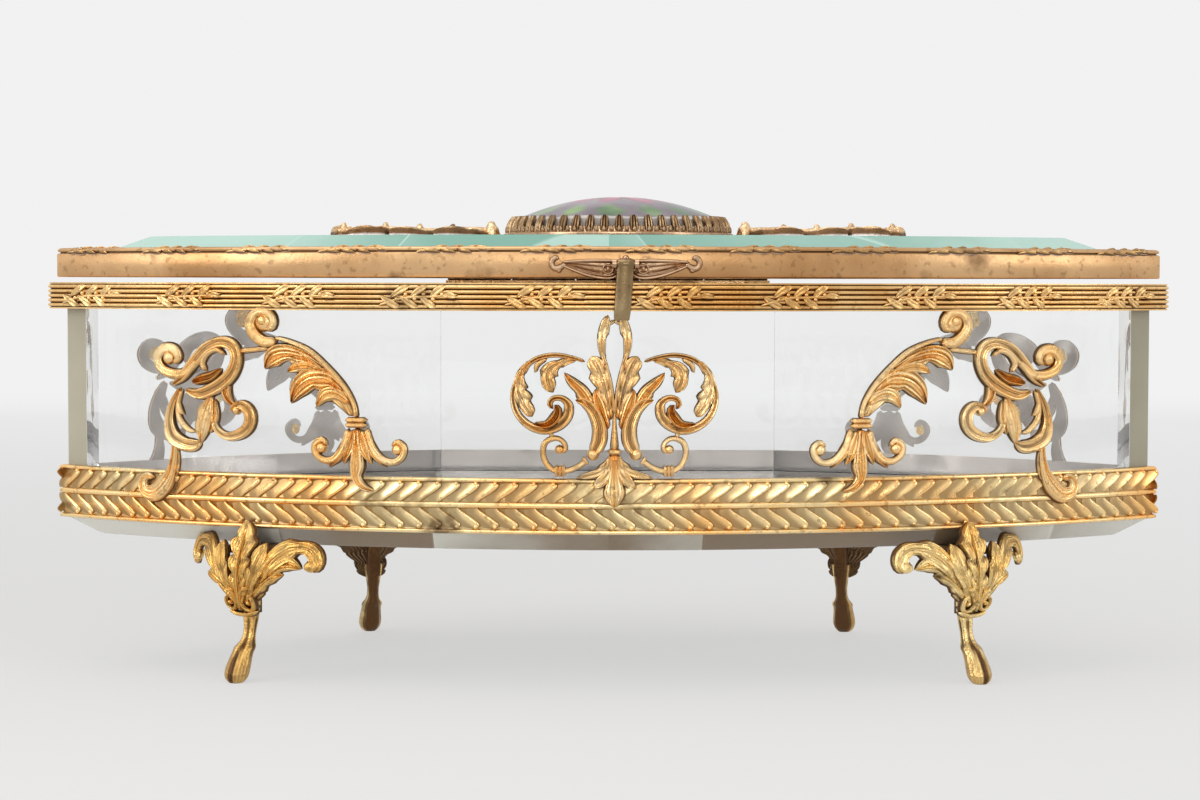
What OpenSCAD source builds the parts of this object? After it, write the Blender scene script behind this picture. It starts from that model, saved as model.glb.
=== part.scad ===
// Bow-fronted glass casket in gilt brass mounts, on four hoof feet.
// Millimetres, +Z up, the floor at z = 0. The bowed front faces -Y and the lid hinges at +Y.
// The origin is the middle of the bounding box, on the floor.

/* [Glass body] */
// Width of the glass body between its two front corners
body_w = 269.6; // [240:1:320]
// Depth of the glass body from the middle of the bow to the flat back
body_d = 105; // [95:1:125]
// How far the middle of the front stands ahead of the front corners
front_bow = 43.5; // [35:0.5:48]
// Width of the flat back panel
back_w = 90; // [70:1:110]
// How far a side panel bulges outside the straight line between its corners
side_bulge = 9; // [5:0.5:12]
// Thickness of the wall glass
wall_t = 6.5; // [4:0.1:8]
// Height of the wall glass
wall_h = 49.8; // [42:0.2:62]
// Gap filled by clear glue between two panes
glue_gap = 0.1; // [0.05:0.01:0.3]

/* [Base glass] */
// Thickness of the base glass
base_t = 12; // [9:0.2:14]
// Height of the bevel ground under the edge of the base glass
base_bevel_h = 4.3; // [2:0.1:6]
// Width of that bevel
base_bevel_w = 5.5; // [3:0.1:8]

/* [Brass bands] */
// Clearance between a brass strip and the glass it wraps
band_fit = 0.1; // [0.05:0.01:0.2]
// Thickness of the lower band
lower_t = 0.8; // [0.6:0.1:1]
// Height of the lower band
lower_h = 13.1; // [10:0.1:16]
// How far the upper moulding stands out from the glass
upper_out = 3.7; // [2.8:0.1:4.2]
// Height of the upper moulding
upper_h = 6.5; // [5:0.1:9]
// Thickness of the flange that covers the top edge of the wall glass
flange_t = 1; // [0.8:0.1:1.4]
// Thickness of the skirt inside the wall glass
skirt_t = 0.9; // [0.6:0.1:1.2]
// Depth of the skirt below the flange
skirt_h = 3.5; // [2:0.1:5]

/* [Lid] */
// Daylight between the closed lid and the upper moulding
lid_gap = 1.3; // [1.1:0.1:2]
// How far the lid frame stands out from the glass body
lid_out = 1.7; // [1.2:0.1:2.4]
// Height of the plain band of the lid frame
rail_h = 6; // [5:0.1:9]
// Thickness of the brass of the lid frame
rail_t = 1; // [0.7:0.1:1.3]
// Width of the ledge that carries the lid glass
ledge_w = 7; // [5:0.5:9]
// Width of the lip folded over the lid glass
lip_w = 10; // [7:0.5:12]
// Thickness of the lip
lip_t = 1.2; // [0.8:0.1:1.6]
// Rise of the bevel of the lid glass above the lip
lid_bevel_h = 3; // [2:0.1:5]
// Width of that bevel
lid_bevel_w = 5.6; // [4:0.1:9]
// Clearance between the lid glass and its frame
lid_fit = 0.1; // [0.05:0.01:0.2]

/* [Hinge] */
// Length of the hinge across the back
hinge_len = 88; // [60:1:90]
// Number of knuckles, an odd number
knuckle_count = 5; // [3:2:9]
// Radius of the knuckles
knuckle_r = 1.6; // [1.4:0.1:2]
// Radius of the hinge pin
pin_r = 0.8; // [0.6:0.05:1]
// Running clearance of the pin in its knuckles, on the radius
pin_fit = 0.05; // [0.03:0.01:0.08]
// Clearance between knuckles, and between a knuckle and the other leaf
knuckle_gap = 0.3; // [0.2:0.05:0.4]
// Thickness of both hinge leaves
leaf_t = 0.8; // [0.6:0.05:0.9]
// Depth of the body leaf on the upper moulding
body_leaf_w = 8; // [6:0.5:10]
// Height of the lid leaf on the back rail
lid_leaf_h = 4; // [3:0.5:5]

/* [Medallion] */
// Sideways place of the medallion on the lid
medallion_x = 2.5; // [-5:0.5:5]
// Radius of the bezel at its base ring
bezel_r = 29; // [22:0.5:32]
// Height of the base ring of the bezel
bezel_ring_h = 1.6; // [1:0.1:3]
// Height of the claws above the lid glass
claw_h = 5.7; // [4:0.1:8]
// Number of claws round the bezel
claw_count = 48; // [24:1:60]
// Radial thickness of the claws
claw_t = 0.9; // [0.6:0.1:1.2]
// Radius of the enamelled dome
dome_r = 26.2; // [19:0.2:27]
// Height of the straight edge of the dome
dome_edge_h = 3.2; // [2:0.1:4]
// Rise of the dome above that edge
dome_rise = 6; // [3:0.2:10]
// Thickness of the plate under the dome
dome_plate_t = 1; // [0.6:0.1:2]
// Clearance between the dome and the bezel
dome_fit = 0.15; // [0.1:0.01:0.3]

/* [Lid ornaments] */
// Length of each leaf scroll beside the medallion
spray_len = 44; // [30:1:50]
// Width of each leaf scroll
spray_w = 15; // [10:0.5:20]
// Thickness of the leaf scrolls
spray_t = 2.2; // [1.5:0.1:3]
// Radius of the round berries on the scrolls
berry_r = 1.9; // [1.5:0.1:2.5]
// Gap between the bezel and a leaf scroll
spray_gap = 0.8; // [0.3:0.1:2]

/* [Clasp] */
// Sideways place of the clasp
clasp_x = 3.8; // [-6:0.1:6]
// Half of the width of the winged plaque
plaque_half = 17.8; // [12:0.2:22]
// Thickness of the plaque
plaque_t = 1.2; // [0.8:0.1:1.6]
// Height of the pivot of the tongue above the bottom of the lid frame
pivot_up = 3.1; // [2.5:0.1:3.6]
// How far the pivot stands out from the lid frame
pivot_out = 3.2; // [3:0.1:3.8]
// Radius of the pivot pin
pivot_r = 0.5; // [0.4:0.05:0.6]
// Running clearance of the pivot pin, on the radius
pivot_fit = 0.05; // [0.03:0.01:0.08]
// Radius of the rolled eye of the tongue and of the two ears
eye_r = 1.1; // [0.9:0.05:1.2]
// Width of the tongue
tongue_w = 3.9; // [3:0.1:5]
// Thickness of the tongue
tongue_t = 1.4; // [1:0.1:1.6]
// Length of the tongue below its pivot
tongue_len = 13; // [10:0.2:14]
// Thickness of each ear
ear_t = 0.9; // [0.6:0.1:1.2]
// Clearance on each side of the tongue
ear_gap = 0.2; // [0.1:0.05:0.3]

/* [Openwork mounts] */
// Thickness of the openwork mounts
mount_t = 2.4; // [1.6:0.1:2.6]
// Clearance between a mount and the face of the lower band
mount_fit = 0.1; // [0.05:0.01:0.2]
// Distance of the middle of a front side mount from the front corner, across the width
side_mount_in = 54.8; // [50:0.2:62]
// Length of a side mount
side_mount_w = 70; // [54:1:74]
// Sideways place of the centre mount
centre_mount_x = 1.3; // [-4:0.1:4]
// Width of the centre mount
centre_mount_w = 50.6; // [40:1:60]
// Height of the centre mount
centre_mount_h = 45; // [38:0.5:48]
// How far the mounts reach down over the lower band
mount_over = 6.8; // [5:0.1:8]
// Radius of the round knob at the top of a side mount
knob_r = 3.5; // [2.8:0.1:4]

/* [Feet] */
// Height of the underside of the base glass above the floor
foot_h = 32.5; // [26:0.5:40]
// Distance of the front feet from the front corners, across the width
front_foot_in = 48.3; // [40:0.1:60]
// Distance of the rear feet from the ends of the back panel, across the width
rear_foot_out = 19; // [13:0.5:30]
// How far the front feet turn outwards from the face that carries them
front_foot_turn = 6; // [0:1:12]
// How far the rear feet turn from the side panel towards the back
rear_foot_turn = 8; // [0:1:12]
// Half of the width of the palmette at the top of a foot
palmette_half = 21; // [15:0.5:24]
// Thickness of the palmette
palmette_t = 2.2; // [1.5:0.1:3]
// Radius of the ankle
ankle_r = 1.6; // [1.2:0.1:2.2]
// Radius of the hoof where it meets the floor
hoof_r = 3; // [2.4:0.1:4]
// How far the hoof stands ahead of the glass
hoof_out = 5; // [2:0.5:6]
// Depth of the bracket under the base glass
bracket_d = 12; // [9:0.5:16]

/* [Hidden] */

// Roundness of large arcs, of small parts and of the limbs of a foot
big = 360;
small = 48;
round_limb = 28;
// Far enough to cut past everything
far = 400;

// Heights, from the floor up
base_z = foot_h;
wall_z = base_z + base_t;
wall_top = wall_z + wall_h;
lower_z = base_z + base_bevel_h;
lower_top = lower_z + lower_h;
upper_top = wall_top + flange_t;
upper_z = upper_top - upper_h;
rail_z = upper_top + lid_gap;
ledge_top = rail_z + rail_t;
rail_top = rail_z + rail_h;
lip_top = rail_top + lip_t;
lid_top = lip_top + lid_bevel_h;

// What stands out in front and behind sets where the body lies along Y
lower_out = band_fit + lower_t;
pin_out = lid_out + knuckle_gap + knuckle_r;
front_reach = lid_out + pivot_out + eye_r;
back_reach = pin_out + knuckle_r;
front_y = (front_reach - body_d - back_reach) / 2;
back_y = front_y + body_d;
corner_y = front_y + front_bow;

// The front is one arc through both front corners
half_w = body_w / 2;
front_r = (half_w * half_w + front_bow * front_bow) / (2 * front_bow);
front_cy = front_y + front_r;
front_half_angle = asin(half_w / front_r);

// Each side is one arc from a front corner to the flat back
side_dx = half_w - back_w / 2;
side_dy = back_y - corner_y;
side_chord = norm([side_dx, side_dy]);
side_r = side_chord * side_chord / (8 * side_bulge) + side_bulge / 2;
side_lean = atan2(side_dy, side_dx);
side_normal = [sin(side_lean), cos(side_lean)];
side_mid = [half_w + back_w / 2, corner_y + back_y] / 2;
side_c = side_mid + (side_bulge - side_r) * side_normal;
side_half_angle = asin(side_chord / 2 / side_r);

// Direction of the mitre at a front corner, pointing inwards
corner_front_dir = [-cos(front_half_angle), -sin(front_half_angle)];
corner_side_dir = [-cos(side_lean + side_half_angle), sin(side_lean + side_half_angle)];
mitre_sum = corner_front_dir + corner_side_dir;
mitre_dir = mitre_sum / norm(mitre_sum);
mitre_in = 30;
mitre_out = 15;

// Hinge line
pin_y = back_y + pin_out;
pin_z = upper_top + knuckle_gap + knuckle_r;
knuckle_len = hinge_len / knuckle_count;

// Sideways places of the side mounts and the feet
side_mount_x = half_w - side_mount_in;
front_foot_x = half_w - front_foot_in;
rear_foot_x = back_w / 2 + rear_foot_out;

// Foot: heights as shares of foot_h, from the floor up
pastern_share = 0.17;
ankle_share = 0.35;
palmette_share = 0.48;
knee_share = 0.6;
// Radius of the knee in ankle radii, and of the pastern in hoof radii
knee_swell = 2.1;
pastern_swell = 0.8;
// Height of the straight edge of the hoof in hoof radii
hoof_edge = 0.5;
// Bracket and stem that carry the base glass
bracket_w = 9.6;
bracket_t = 2;
bracket_back = 1.5;
stem_t = 4;
// Palmette: share of the lower band it laps over, and how far it bellies out
palmette_lap = 0.2;
belly_mid = 3.4;
belly_low = 2.6;
tuck_in = 0.5;
tip_thin = 0.6;

// Clasp pivot, and how far below it the middle of the plaque lies
plaque_drop = 0.2;
pivot_y = front_y - lid_out - pivot_out;
pivot_z = rail_z + pivot_up;

// Span of the openwork mounts between the two bands
mount_z = lower_top - mount_over;
mount_span = upper_z - mount_fit - mount_z;

$front_only = false;

brass = "goldenrod";
dark_brass = "peru";
clear_glass = "lightblue";

// Plan of the body grown by o0 at z0 and by o1 at z1, with true arcs and cones.
// With $front_only it is the whole disc of the front arc, which a front strip is cut from
module slab(z0, z1, o0, o1) {
  h = z1 - z0;
  if ($front_only)
    front_disc(z0, h, o0, o1);
  else
    intersection() {
      front_disc(z0, h, o0, o1);
      both_sides(z0, h, o0, o1);
      rotate([90, 0, 90])
        linear_extrude(far * 2, center = true)
          polygon([[-far, z0], [back_y + o0, z0], [back_y + o1, z1], [-far, z1]]);
    }
}

module front_disc(z0, h, o0, o1)
  translate([0, front_cy, z0])
    cylinder(h = h, r1 = front_r + o0, r2 = front_r + o1, $fn = big);

// Both side arcs at once. Each arc cuts only its own end of the body
module both_sides(z0, h, o0, o1) {
  intersection() {
    side_disc(z0, h, o0, o1);
    mirror([1, 0, 0]) side_disc(z0, h, o0, o1);
  }
}

module side_disc(z0, h, o0, o1) {
  translate([side_c.x, side_c.y, z0])
    cylinder(h = h, r1 = side_r + o0, r2 = side_r + o1, $fn = big);
  translate([back_w / 4 - far, -far, z0])
    cube([far, far * 2, h]);
}

// Straight-sided ring of the plan between two growths
module ring(z0, z1, inner, outer) {
  difference() {
    slab(z0, z1, outer, outer);
    slab(z0 - 1, z1 + 1, inner, inner);
  }
}

// Zones that divide a ring into its four strips, with mitred corners
module front_zone() {
  a_in = [half_w, corner_y] + mitre_in * mitre_dir;
  a_out = [half_w, corner_y] - mitre_out * mitre_dir;
  translate([0, 0, -1])
    linear_extrude(far)
      polygon([a_in, a_out, [far, -far], [-far, -far], [-a_out.x, a_out.y], [-a_in.x, a_in.y]]);
}

module side_zone() {
  a_in = [half_w, corner_y] + mitre_in * mitre_dir;
  a_out = [half_w, corner_y] - mitre_out * mitre_dir;
  translate([0, 0, -1])
    linear_extrude(far)
      polygon([a_in, a_out, [far, a_out.y], [far, far], [back_w / 2, far], [back_w / 2, a_in.y]]);
}

module back_zone() {
  translate([-back_w / 2, 0, -1])
    cube([back_w, far, far]);
}

// Glass plate with a straight edge at growth o, ground away where a slope from o0 to o1 lies inside that edge
module bevelled(z0, z1, o, o0, o1) intersection() {
  slab(z0, z1, o, o);
  slab(z0, z1, o0, o1);
}

module base_glass() color(clear_glass, 0.4) {
  bevelled(base_z, wall_z, 0, -base_bevel_w, base_bevel_w * (base_t / base_bevel_h - 1));
}

module front_glass() color(clear_glass, 0.4) {
  end = -wall_t - glue_gap;
  intersection() {
    difference() {
      slab(wall_z, wall_top, 0, 0);
      translate([0, front_cy, wall_z - 1])
        cylinder(h = wall_h + 2, r = front_r - wall_t, $fn = big);
    }
    both_sides(wall_z, wall_h, end, end);
    translate([-half_w, front_y - 1, 0])
      cube([body_w, front_bow + wall_t, far]);
  }
}

module side_glass() color(clear_glass, 0.4) {
  intersection() {
    difference() {
      slab(wall_z, wall_top, 0, 0);
      translate([side_c.x, side_c.y, wall_z - 1])
        cylinder(h = wall_h + 2, r = side_r - wall_t, $fn = big);
    }
    translate([back_w / 2, -far, 0])
      cube([far, far * 2, far]);
  }
}

module left_glass() mirror([1, 0, 0]) side_glass();

module right_glass() side_glass();

module back_glass() color(clear_glass, 0.4) {
  translate([-back_w / 2 + glue_gap, back_y - wall_t, wall_z])
    cube([back_w - 2 * glue_gap, wall_t, wall_h]);
}

// Lower band: a stamped strip round the base glass and the foot of the walls
module lower_ring() color(brass) ring(lower_z, lower_top, band_fit, lower_out);

// Upper moulding: it wraps the top edge of the wall glass
module upper_ring() color(brass) difference() {
  slab(upper_z, upper_top, upper_out, upper_out);
  slab(upper_z - 1, wall_top, band_fit, band_fit);
  slab(upper_z, upper_top + 1, -wall_t - band_fit - skirt_t, -wall_t - band_fit - skirt_t);
}

module upper_skirt() color(brass)
  ring(wall_top - skirt_h, wall_top, -wall_t - band_fit - skirt_t, -wall_t - band_fit);

module upper_strip() {
  upper_ring();
  upper_skirt();
}

// Lid frame: ledge below, plain band outside, lip folded over the glass
module lid_ring() color(brass) difference() {
  slab(rail_z, lip_top, lid_out, lid_out);
  slab(ledge_top, rail_top, lid_out - rail_t, lid_out - rail_t);
  slab(rail_z - 1, rail_z + rail_h / 2, lid_out - rail_t - ledge_w, lid_out - rail_t - ledge_w);
  slab(rail_z + rail_h / 2, lip_top + 1, lid_out - lip_w, lid_out - lip_w);
}

module strip_front() {
  $front_only = true;
  intersection() { children(); front_zone(); }
}
module strip_right() intersection() { children(); side_zone(); }
module strip_left() mirror([1, 0, 0]) strip_right() children();
module strip_back() intersection() { children(); back_zone(); }

module lid_glass() color(clear_glass, 0.4) {
  edge = lid_out - rail_t - lid_fit;
  inner = lid_out - lip_w - lid_fit;
  slope = lid_bevel_w / lid_bevel_h;
  slab(ledge_top, rail_top, edge, edge);
  bevelled(ledge_top, lid_top, inner, inner + slope * (lip_top - ledge_top), inner - lid_bevel_w);
}

// Hinge
module knuckle(i, extra_r, extra_l) {
  translate([-hinge_len / 2 + i * knuckle_len + knuckle_gap / 2 - extra_l, pin_y, pin_z])
    rotate([0, 90, 0])
      cylinder(h = knuckle_len - knuckle_gap + 2 * extra_l, r = knuckle_r + extra_r, $fn = small);
}

module knuckle_bore() {
  translate([-hinge_len, pin_y, pin_z])
    rotate([0, 90, 0])
      cylinder(h = hinge_len * 2, r = pin_r + pin_fit, $fn = small);
}

// A leaf keeps the knuckles that start at first and clears the others
module hinge_leaf(first) {
  difference() {
    union() {
      difference() {
        children();
        for (i = [1 - first : 2 : knuckle_count - 1])
          knuckle(i, knuckle_gap, knuckle_gap);
      }
      for (i = [first : 2 : knuckle_count - 1])
        knuckle(i, 0, 0);
    }
    knuckle_bore();
  }
}

module hinge_body_leaf() color(dark_brass) {
  hinge_leaf(0)
    translate([-hinge_len / 2, pin_y - body_leaf_w, upper_top])
      cube([hinge_len, body_leaf_w, leaf_t]);
}

module hinge_lid_leaf() color(dark_brass) {
  hinge_leaf(1)
    translate([-hinge_len / 2, back_y + lid_out, pin_z])
      cube([hinge_len, leaf_t, lid_leaf_h]);
}

module hinge_pin() color(dark_brass) {
  translate([-hinge_len / 2, pin_y, pin_z])
    rotate([0, 90, 0])
      cylinder(h = hinge_len, r = pin_r, $fn = small);
}

// Medallion on the lid
module on_medallion() translate([medallion_x, 0, lid_top]) children();

module medallion_plate() color(dark_brass) {
  on_medallion() cylinder(h = dome_plate_t, r = dome_r, $fn = big);
}

function cog(n, r0, r1) = [
  for (i = [0 : n - 1])
    for (k = [0 : 3])
      let (r = k == 1 || k == 2 ? r1 : r0)
        let (a = (i + [0.1, 0.3, 0.7, 0.9][k]) * 360 / n)
          [r * cos(a), r * sin(a)]
];

module medallion_bezel() color(dark_brass) {
  wall_r = bezel_r - 2 * claw_t;
  on_medallion() difference() {
    union() {
      cylinder(h = bezel_ring_h, r = bezel_r, $fn = big);
      linear_extrude(claw_h)
        polygon(cog(claw_count, wall_r, wall_r + claw_t));
    }
    translate([0, 0, -1])
      cylinder(h = claw_h + 2, r = dome_r + dome_fit, $fn = big);
  }
}

module medallion_dome() color("plum") {
  ball_r = (dome_r * dome_r + dome_rise * dome_rise) / (2 * dome_rise);
  on_medallion() translate([0, 0, dome_plate_t]) {
    cylinder(h = dome_edge_h, r = dome_r, $fn = big);
    translate([0, 0, dome_edge_h])
      intersection() {
        translate([0, 0, dome_rise - ball_r]) sphere(r = ball_r, $fn = big);
        cylinder(h = dome_rise + 1, r = dome_r, $fn = big);
      }
  }
}

// Scrollwork. A drawing is made at its drawing size and $thick deep, and $kx and $kz stretch it to its place
function fitted(v) = [for (p = v) [p.x * $kx, p.y * $kz]];

function bezier(a, b, c, d, n) = [
  for (i = [0 : n])
    let (t = i / n, s = 1 - t)
      s * s * s * a + 3 * s * s * t * b + 3 * s * t * t * c + t * t * t * d
];

function spiral(c, r0, r1, a0, a1, n) = [
  for (i = [0 : n])
    let (t = i / n, r = r0 + (r1 - r0) * t, a = a0 + (a1 - a0) * t)
      c + r * [cos(a), sin(a)]
];

function swell(w, t) = (1 - t) * (1 - t) * w[0] + 2 * t * (1 - t) * w[1] + t * t * w[2];

function path_side(p, w, s) = [
  for (i = [0 : len(p) - 1])
    let (d = p[min(i + 1, len(p) - 1)] - p[max(i - 1, 0)])
      p[i] + s * swell(w, i / (len(p) - 1)) / 2 * [-d.y, d.x] / norm(d)
];

function reversed(v) = [for (i = [len(v) - 1 : -1 : 0]) v[i]];

// A stroke follows a path and swells from w[0] through w[1] to w[2]
module stroke(path, w) {
  p = fitted(path);
  linear_extrude($thick)
    polygon(concat(path_side(p, w, 1), reversed(path_side(p, w, -1))));
}

module leaf(points) linear_extrude($thick) polygon(fitted(points));

module disc(c, r) translate(fitted([c])[0]) cylinder(h = $thick, r = r, $fn = small);

module eyelet(c, outer, inner) translate(fitted([c])[0]) difference() {
  cylinder(h = $thick, r = outer, $fn = small);
  translate([0, 0, -1]) cylinder(h = $thick + 2, r = inner, $fn = small);
}

module collar(c, size) {
  place = fitted([c - size / 2])[0];
  translate([place.x, place.y, 0]) cube([size.x, size.y, $thick]);
}

// Size at which the side mount is drawn
side_draw = [66, 45.6];

// Side mount, with its leaf at the left and its tail at the right
module side_mount_drawing() {
  leaf([[-21, 18.6], [-19.5, 21.3], [-13, 21.6], [-9.6, 20.2], [-11.2, 23.8], [-4.9, 21.4], [-8.6, 28.6],
    [-4.6, 28.4], [1.2, 29.2], [-0.4, 35.6], [-4.8, 36.4], [-9.8, 35.2], [-14.2, 32.4], [-18.2, 28],
    [-21.3, 23.5], [-22.4, 19]]);
  stroke(bezier([1.5, 40], [-0.5, 38.5], [-1.5, 37], [-5, 35], 6), [3, 3, 2]);
  disc([1.5, 41.6], knob_r);
  collar([-21, 18.6], [5.2, 2.6]);
  stroke(bezier([-20, 18], [-19.5, 11.5], [-14.5, 8.6], [-11.6, 12], 10), [2.6, 2.2, 2]);
  disc([-13.2, 13.6], 2.1);
  stroke(bezier([-22, 18], [-23, 11.5], [-27.5, 8.8], [-30.6, 12], 10), [2.6, 2.2, 2]);
  disc([-29.2, 13.8], 2.1);
  stroke(bezier([-21.2, 18], [-21, 13], [-22, 6], [-25.3, 3.4], 10), [2, 7.5, 1.6]);
  stroke([[0, 36.2], [7.6, 35.4]], [1.7, 1.7, 1.7]);
  eyelet([12.4, 31.4], 7.2, 4);
  stroke(bezier([9.5, 36.2], [14, 35.6], [20, 29.2], [24.8, 26.4], 8), [2, 4.6, 1.2]);
  stroke(bezier([24.4, 26.4], [26.4, 28], [27, 30], [25.6, 31.6], 6), [1.8, 1.8, 1.8]);
  disc([25.2, 32.6], 2.5);
  stroke(spiral([18.6, 19.2], 8.2, 7, 62, -84, 14), [1.8, 3.6, 3]);
  stroke(bezier([14, 26], [16.5, 22], [17.5, 18], [16.3, 13], 8), [1.4, 5.6, 1]);
  stroke(spiral([9.6, 19.4], 6.6, 4.2, 62, -200, 18), [1.8, 3.4, 2.2]);
  stroke(bezier([24.9, 14.6], [25, 8], [24.6, 1], [31, 0.9], 10), [2, 3.4, 2.2]);
  disc([31, 2.4], 2);
}

// Size at which the centre mount is drawn
centre_draw = [50.6, 45];

// Right half of the centre mount
module centre_mount_half() {
  stroke(bezier([1.2, 44.8], [4.2, 38], [4, 34], [0.8, 24], 12), [2.2, 2.6, 1.6]);
  leaf([[0, 19], [0.4, 24.5], [2.4, 30], [4.4, 34.6], [7, 35.4], [6.4, 31.5], [5, 29.6], [4.6, 27.6],
    [3, 20]]);
  leaf([[2.4, 20], [5, 27], [8.6, 29], [12.4, 32], [10.8, 27], [8.4, 24.8], [6.2, 22], [5, 17]]);
  stroke(spiral([15, 26.6], 10.8, 9.2, 140, -105, 26), [1.2, 2.6, 2.6]);
  stroke(spiral([13.2, 22.4], 5, 2, -92, -330, 14), [2.6, 3, 2]);
  leaf([[9.6, 35.8], [11.6, 32.2], [13.8, 26.8], [16.6, 28.6], [18.8, 32.6], [16.6, 36]]);
  leaf([[23.6, 32], [21, 32.2], [21.6, 28], [19.6, 25.6], [17.8, 21], [20.4, 19.8], [24, 22]]);
  stroke(bezier([1, 26], [3.4, 21], [2, 17], [5.8, 11.8], 10), [2, 6.6, 3.4]);
  stroke(bezier([5.4, 10.8], [9, 7.4], [17, 5.6], [17.3, 13], 12), [1.8, 2, 2]);
  stroke(spiral([13.9, 13.2], 3.4, 1.6, 0, 260, 14), [2, 2, 1.8]);
  stroke(bezier([14, 16.6], [14.4, 17], [14.6, 17.2], [15, 17.8], 3), [1.4, 1.4, 1.4]);
  collar([11.4, 8.1], [2, 3]);
  leaf([[0, 20], [1.6, 14], [1.8, 8], [2.4, 3], [0, 0.2]]);
  stroke(bezier([1, 11], [2, 7], [4, 6.4], [7.6, 6.6], 6), [2, 3.4, 0.8]);
}

// Bends a drawing round an upright cylinder of radius r on the Z axis, on its -Y side
module bent_mount(r) {
  inner = r + lower_out + mount_fit;
  margin = 5;
  intersection() {
    difference() {
      translate([0, 0, mount_z - margin])
        cylinder(h = mount_span + margin, r = inner + mount_t, $fn = big);
      translate([0, 0, mount_z - margin - 1])
        cylinder(h = mount_span + margin + 2, r = inner, $fn = big);
    }
    translate([0, -r / 2, mount_z])
      rotate([90, 0, 0])
        children();
  }
}

module side_mount(r) color("sandybrown") {
  $thick = r;
  $kx = side_mount_w / side_draw.x;
  $kz = mount_span / side_draw.y;
  bent_mount(r) side_mount_drawing();
}

module centre_mount(r) color("sandybrown") {
  $thick = r;
  $kx = centre_mount_w / centre_draw.x;
  $kz = centre_mount_h / centre_draw.y;
  bent_mount(r) {
    centre_mount_half();
    mirror([1, 0, 0]) centre_mount_half();
  }
}

// Turns a piece made on the -Y side of the Z axis to its place on the bowed front
module on_front(x) translate([0, front_cy, 0]) rotate([0, 0, asin(x / front_r)]) children();

// The same on the right side panel, a degrees from its middle towards the back
module on_side(a) translate([side_c.x, side_c.y, 0]) rotate([0, 0, 180 - side_lean + a]) children();

module front_right_mount() on_front(side_mount_x) side_mount(front_r);
module front_left_mount() mirror([1, 0, 0]) front_right_mount();
module front_centre_mount() on_front(centre_mount_x) centre_mount(front_r);
module rear_right_mount() on_side(0) mirror([1, 0, 0]) side_mount(side_r);
module rear_left_mount() mirror([1, 0, 0]) rear_right_mount();

// Foot, with its own origin on the face of the glass and the floor, facing -Y
palmette_draw = [42, 24];
palmette_sweep = 90;

module palmette_half() {
  leaf([[-0.1, 0], [4, 0.4], [5.5, 4], [8, 8], [10.6, 10.6], [10.2, 12.4], [13.4, 12], [16.4, 13],
    [18.4, 10.4], [21, 11.4], [21, 15], [18, 18.6], [13.5, 20], [10, 18.2], [7.4, 16.8], [4.6, 19.6],
    [3.4, 22.4], [-0.1, 24]]);
}

module palmette() {
  bottom = foot_h * palmette_share;
  top = lower_z + lower_h * palmette_lap;
  rise = top - bottom;
  r = palmette_sweep;
  near = r + lower_out + mount_fit;
  tuck = r - tuck_in;
  intersection() {
    translate([0, r, 0])
      rotate_extrude($fn = big)
        polygon([[near, top + 1], [near, lower_z], [near + belly_mid, bottom + rise / 2],
          [near + belly_low, bottom + rise / 4], [tuck, bottom - 1], [tuck + palmette_t, bottom - 1],
          [near + belly_low + palmette_t, bottom + rise / 4],
          [near + belly_mid + palmette_t, bottom + rise / 2], [near + palmette_t, lower_z],
          [near + palmette_t * tip_thin, top + 1]]);
    translate([0, r / 2, bottom])
      rotate([90, 0, 0]) {
        $thick = r;
        $kx = 2 * palmette_half / palmette_draw.x;
        $kz = rise / palmette_draw.y;
        palmette_half();
        mirror([1, 0, 0]) palmette_half();
      }
  }
}

module foot() color(brass) {
  knee_z = foot_h * knee_share;
  ankle_z = foot_h * ankle_share;
  pastern = [0, hoof_r * tip_thin - hoof_out, foot_h * pastern_share];
  palmette();
  hull() {
    translate([0, -1, knee_z]) sphere(ankle_r * knee_swell, $fn = round_limb);
    translate([0, 0, ankle_z]) sphere(ankle_r, $fn = round_limb);
  }
  hull() {
    translate([0, 0, ankle_z]) sphere(ankle_r, $fn = round_limb);
    translate(pastern) sphere(hoof_r * pastern_swell, $fn = round_limb);
  }
  hull() {
    translate(pastern) sphere(hoof_r * pastern_swell, $fn = round_limb);
    translate([0, -hoof_out, 0]) cylinder(h = hoof_r * hoof_edge, r = hoof_r, $fn = round_limb);
  }
  translate([-bracket_w / 2, -bracket_back, base_z - bracket_t])
    cube([bracket_w, bracket_d, bracket_t]);
  translate([-ankle_r, -stem_t / 2, knee_z])
    cube([ankle_r * 2, stem_t, base_z - knee_z]);
}

module front_right_foot() on_front(front_foot_x)
  translate([0, -front_r, 0]) rotate([0, 0, front_foot_turn]) foot();
module front_left_foot() mirror([1, 0, 0]) front_right_foot();
module rear_right_foot() {
  a = side_lean - asin((rear_foot_x - side_c.x) / side_r);
  on_side(a) translate([0, -side_r, 0]) rotate([0, 0, rear_foot_turn]) foot();
}
module rear_left_foot() mirror([1, 0, 0]) rear_right_foot();

// Leaf scroll on the lid, drawn from the medallion outwards
spray_draw = [44, 15];

// Berries of a scroll, the share of their radius sunk in it, and its four pairs of leaves
berry_places = [[4, 0.6], [20, 0.6], [37.4, 3.2]];
berry_sink = 0.2;
leaf_first = 3;
leaf_pitch = 7.6;
leaf_reach = 7.2;
leaf_taper = 0.9;

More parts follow.
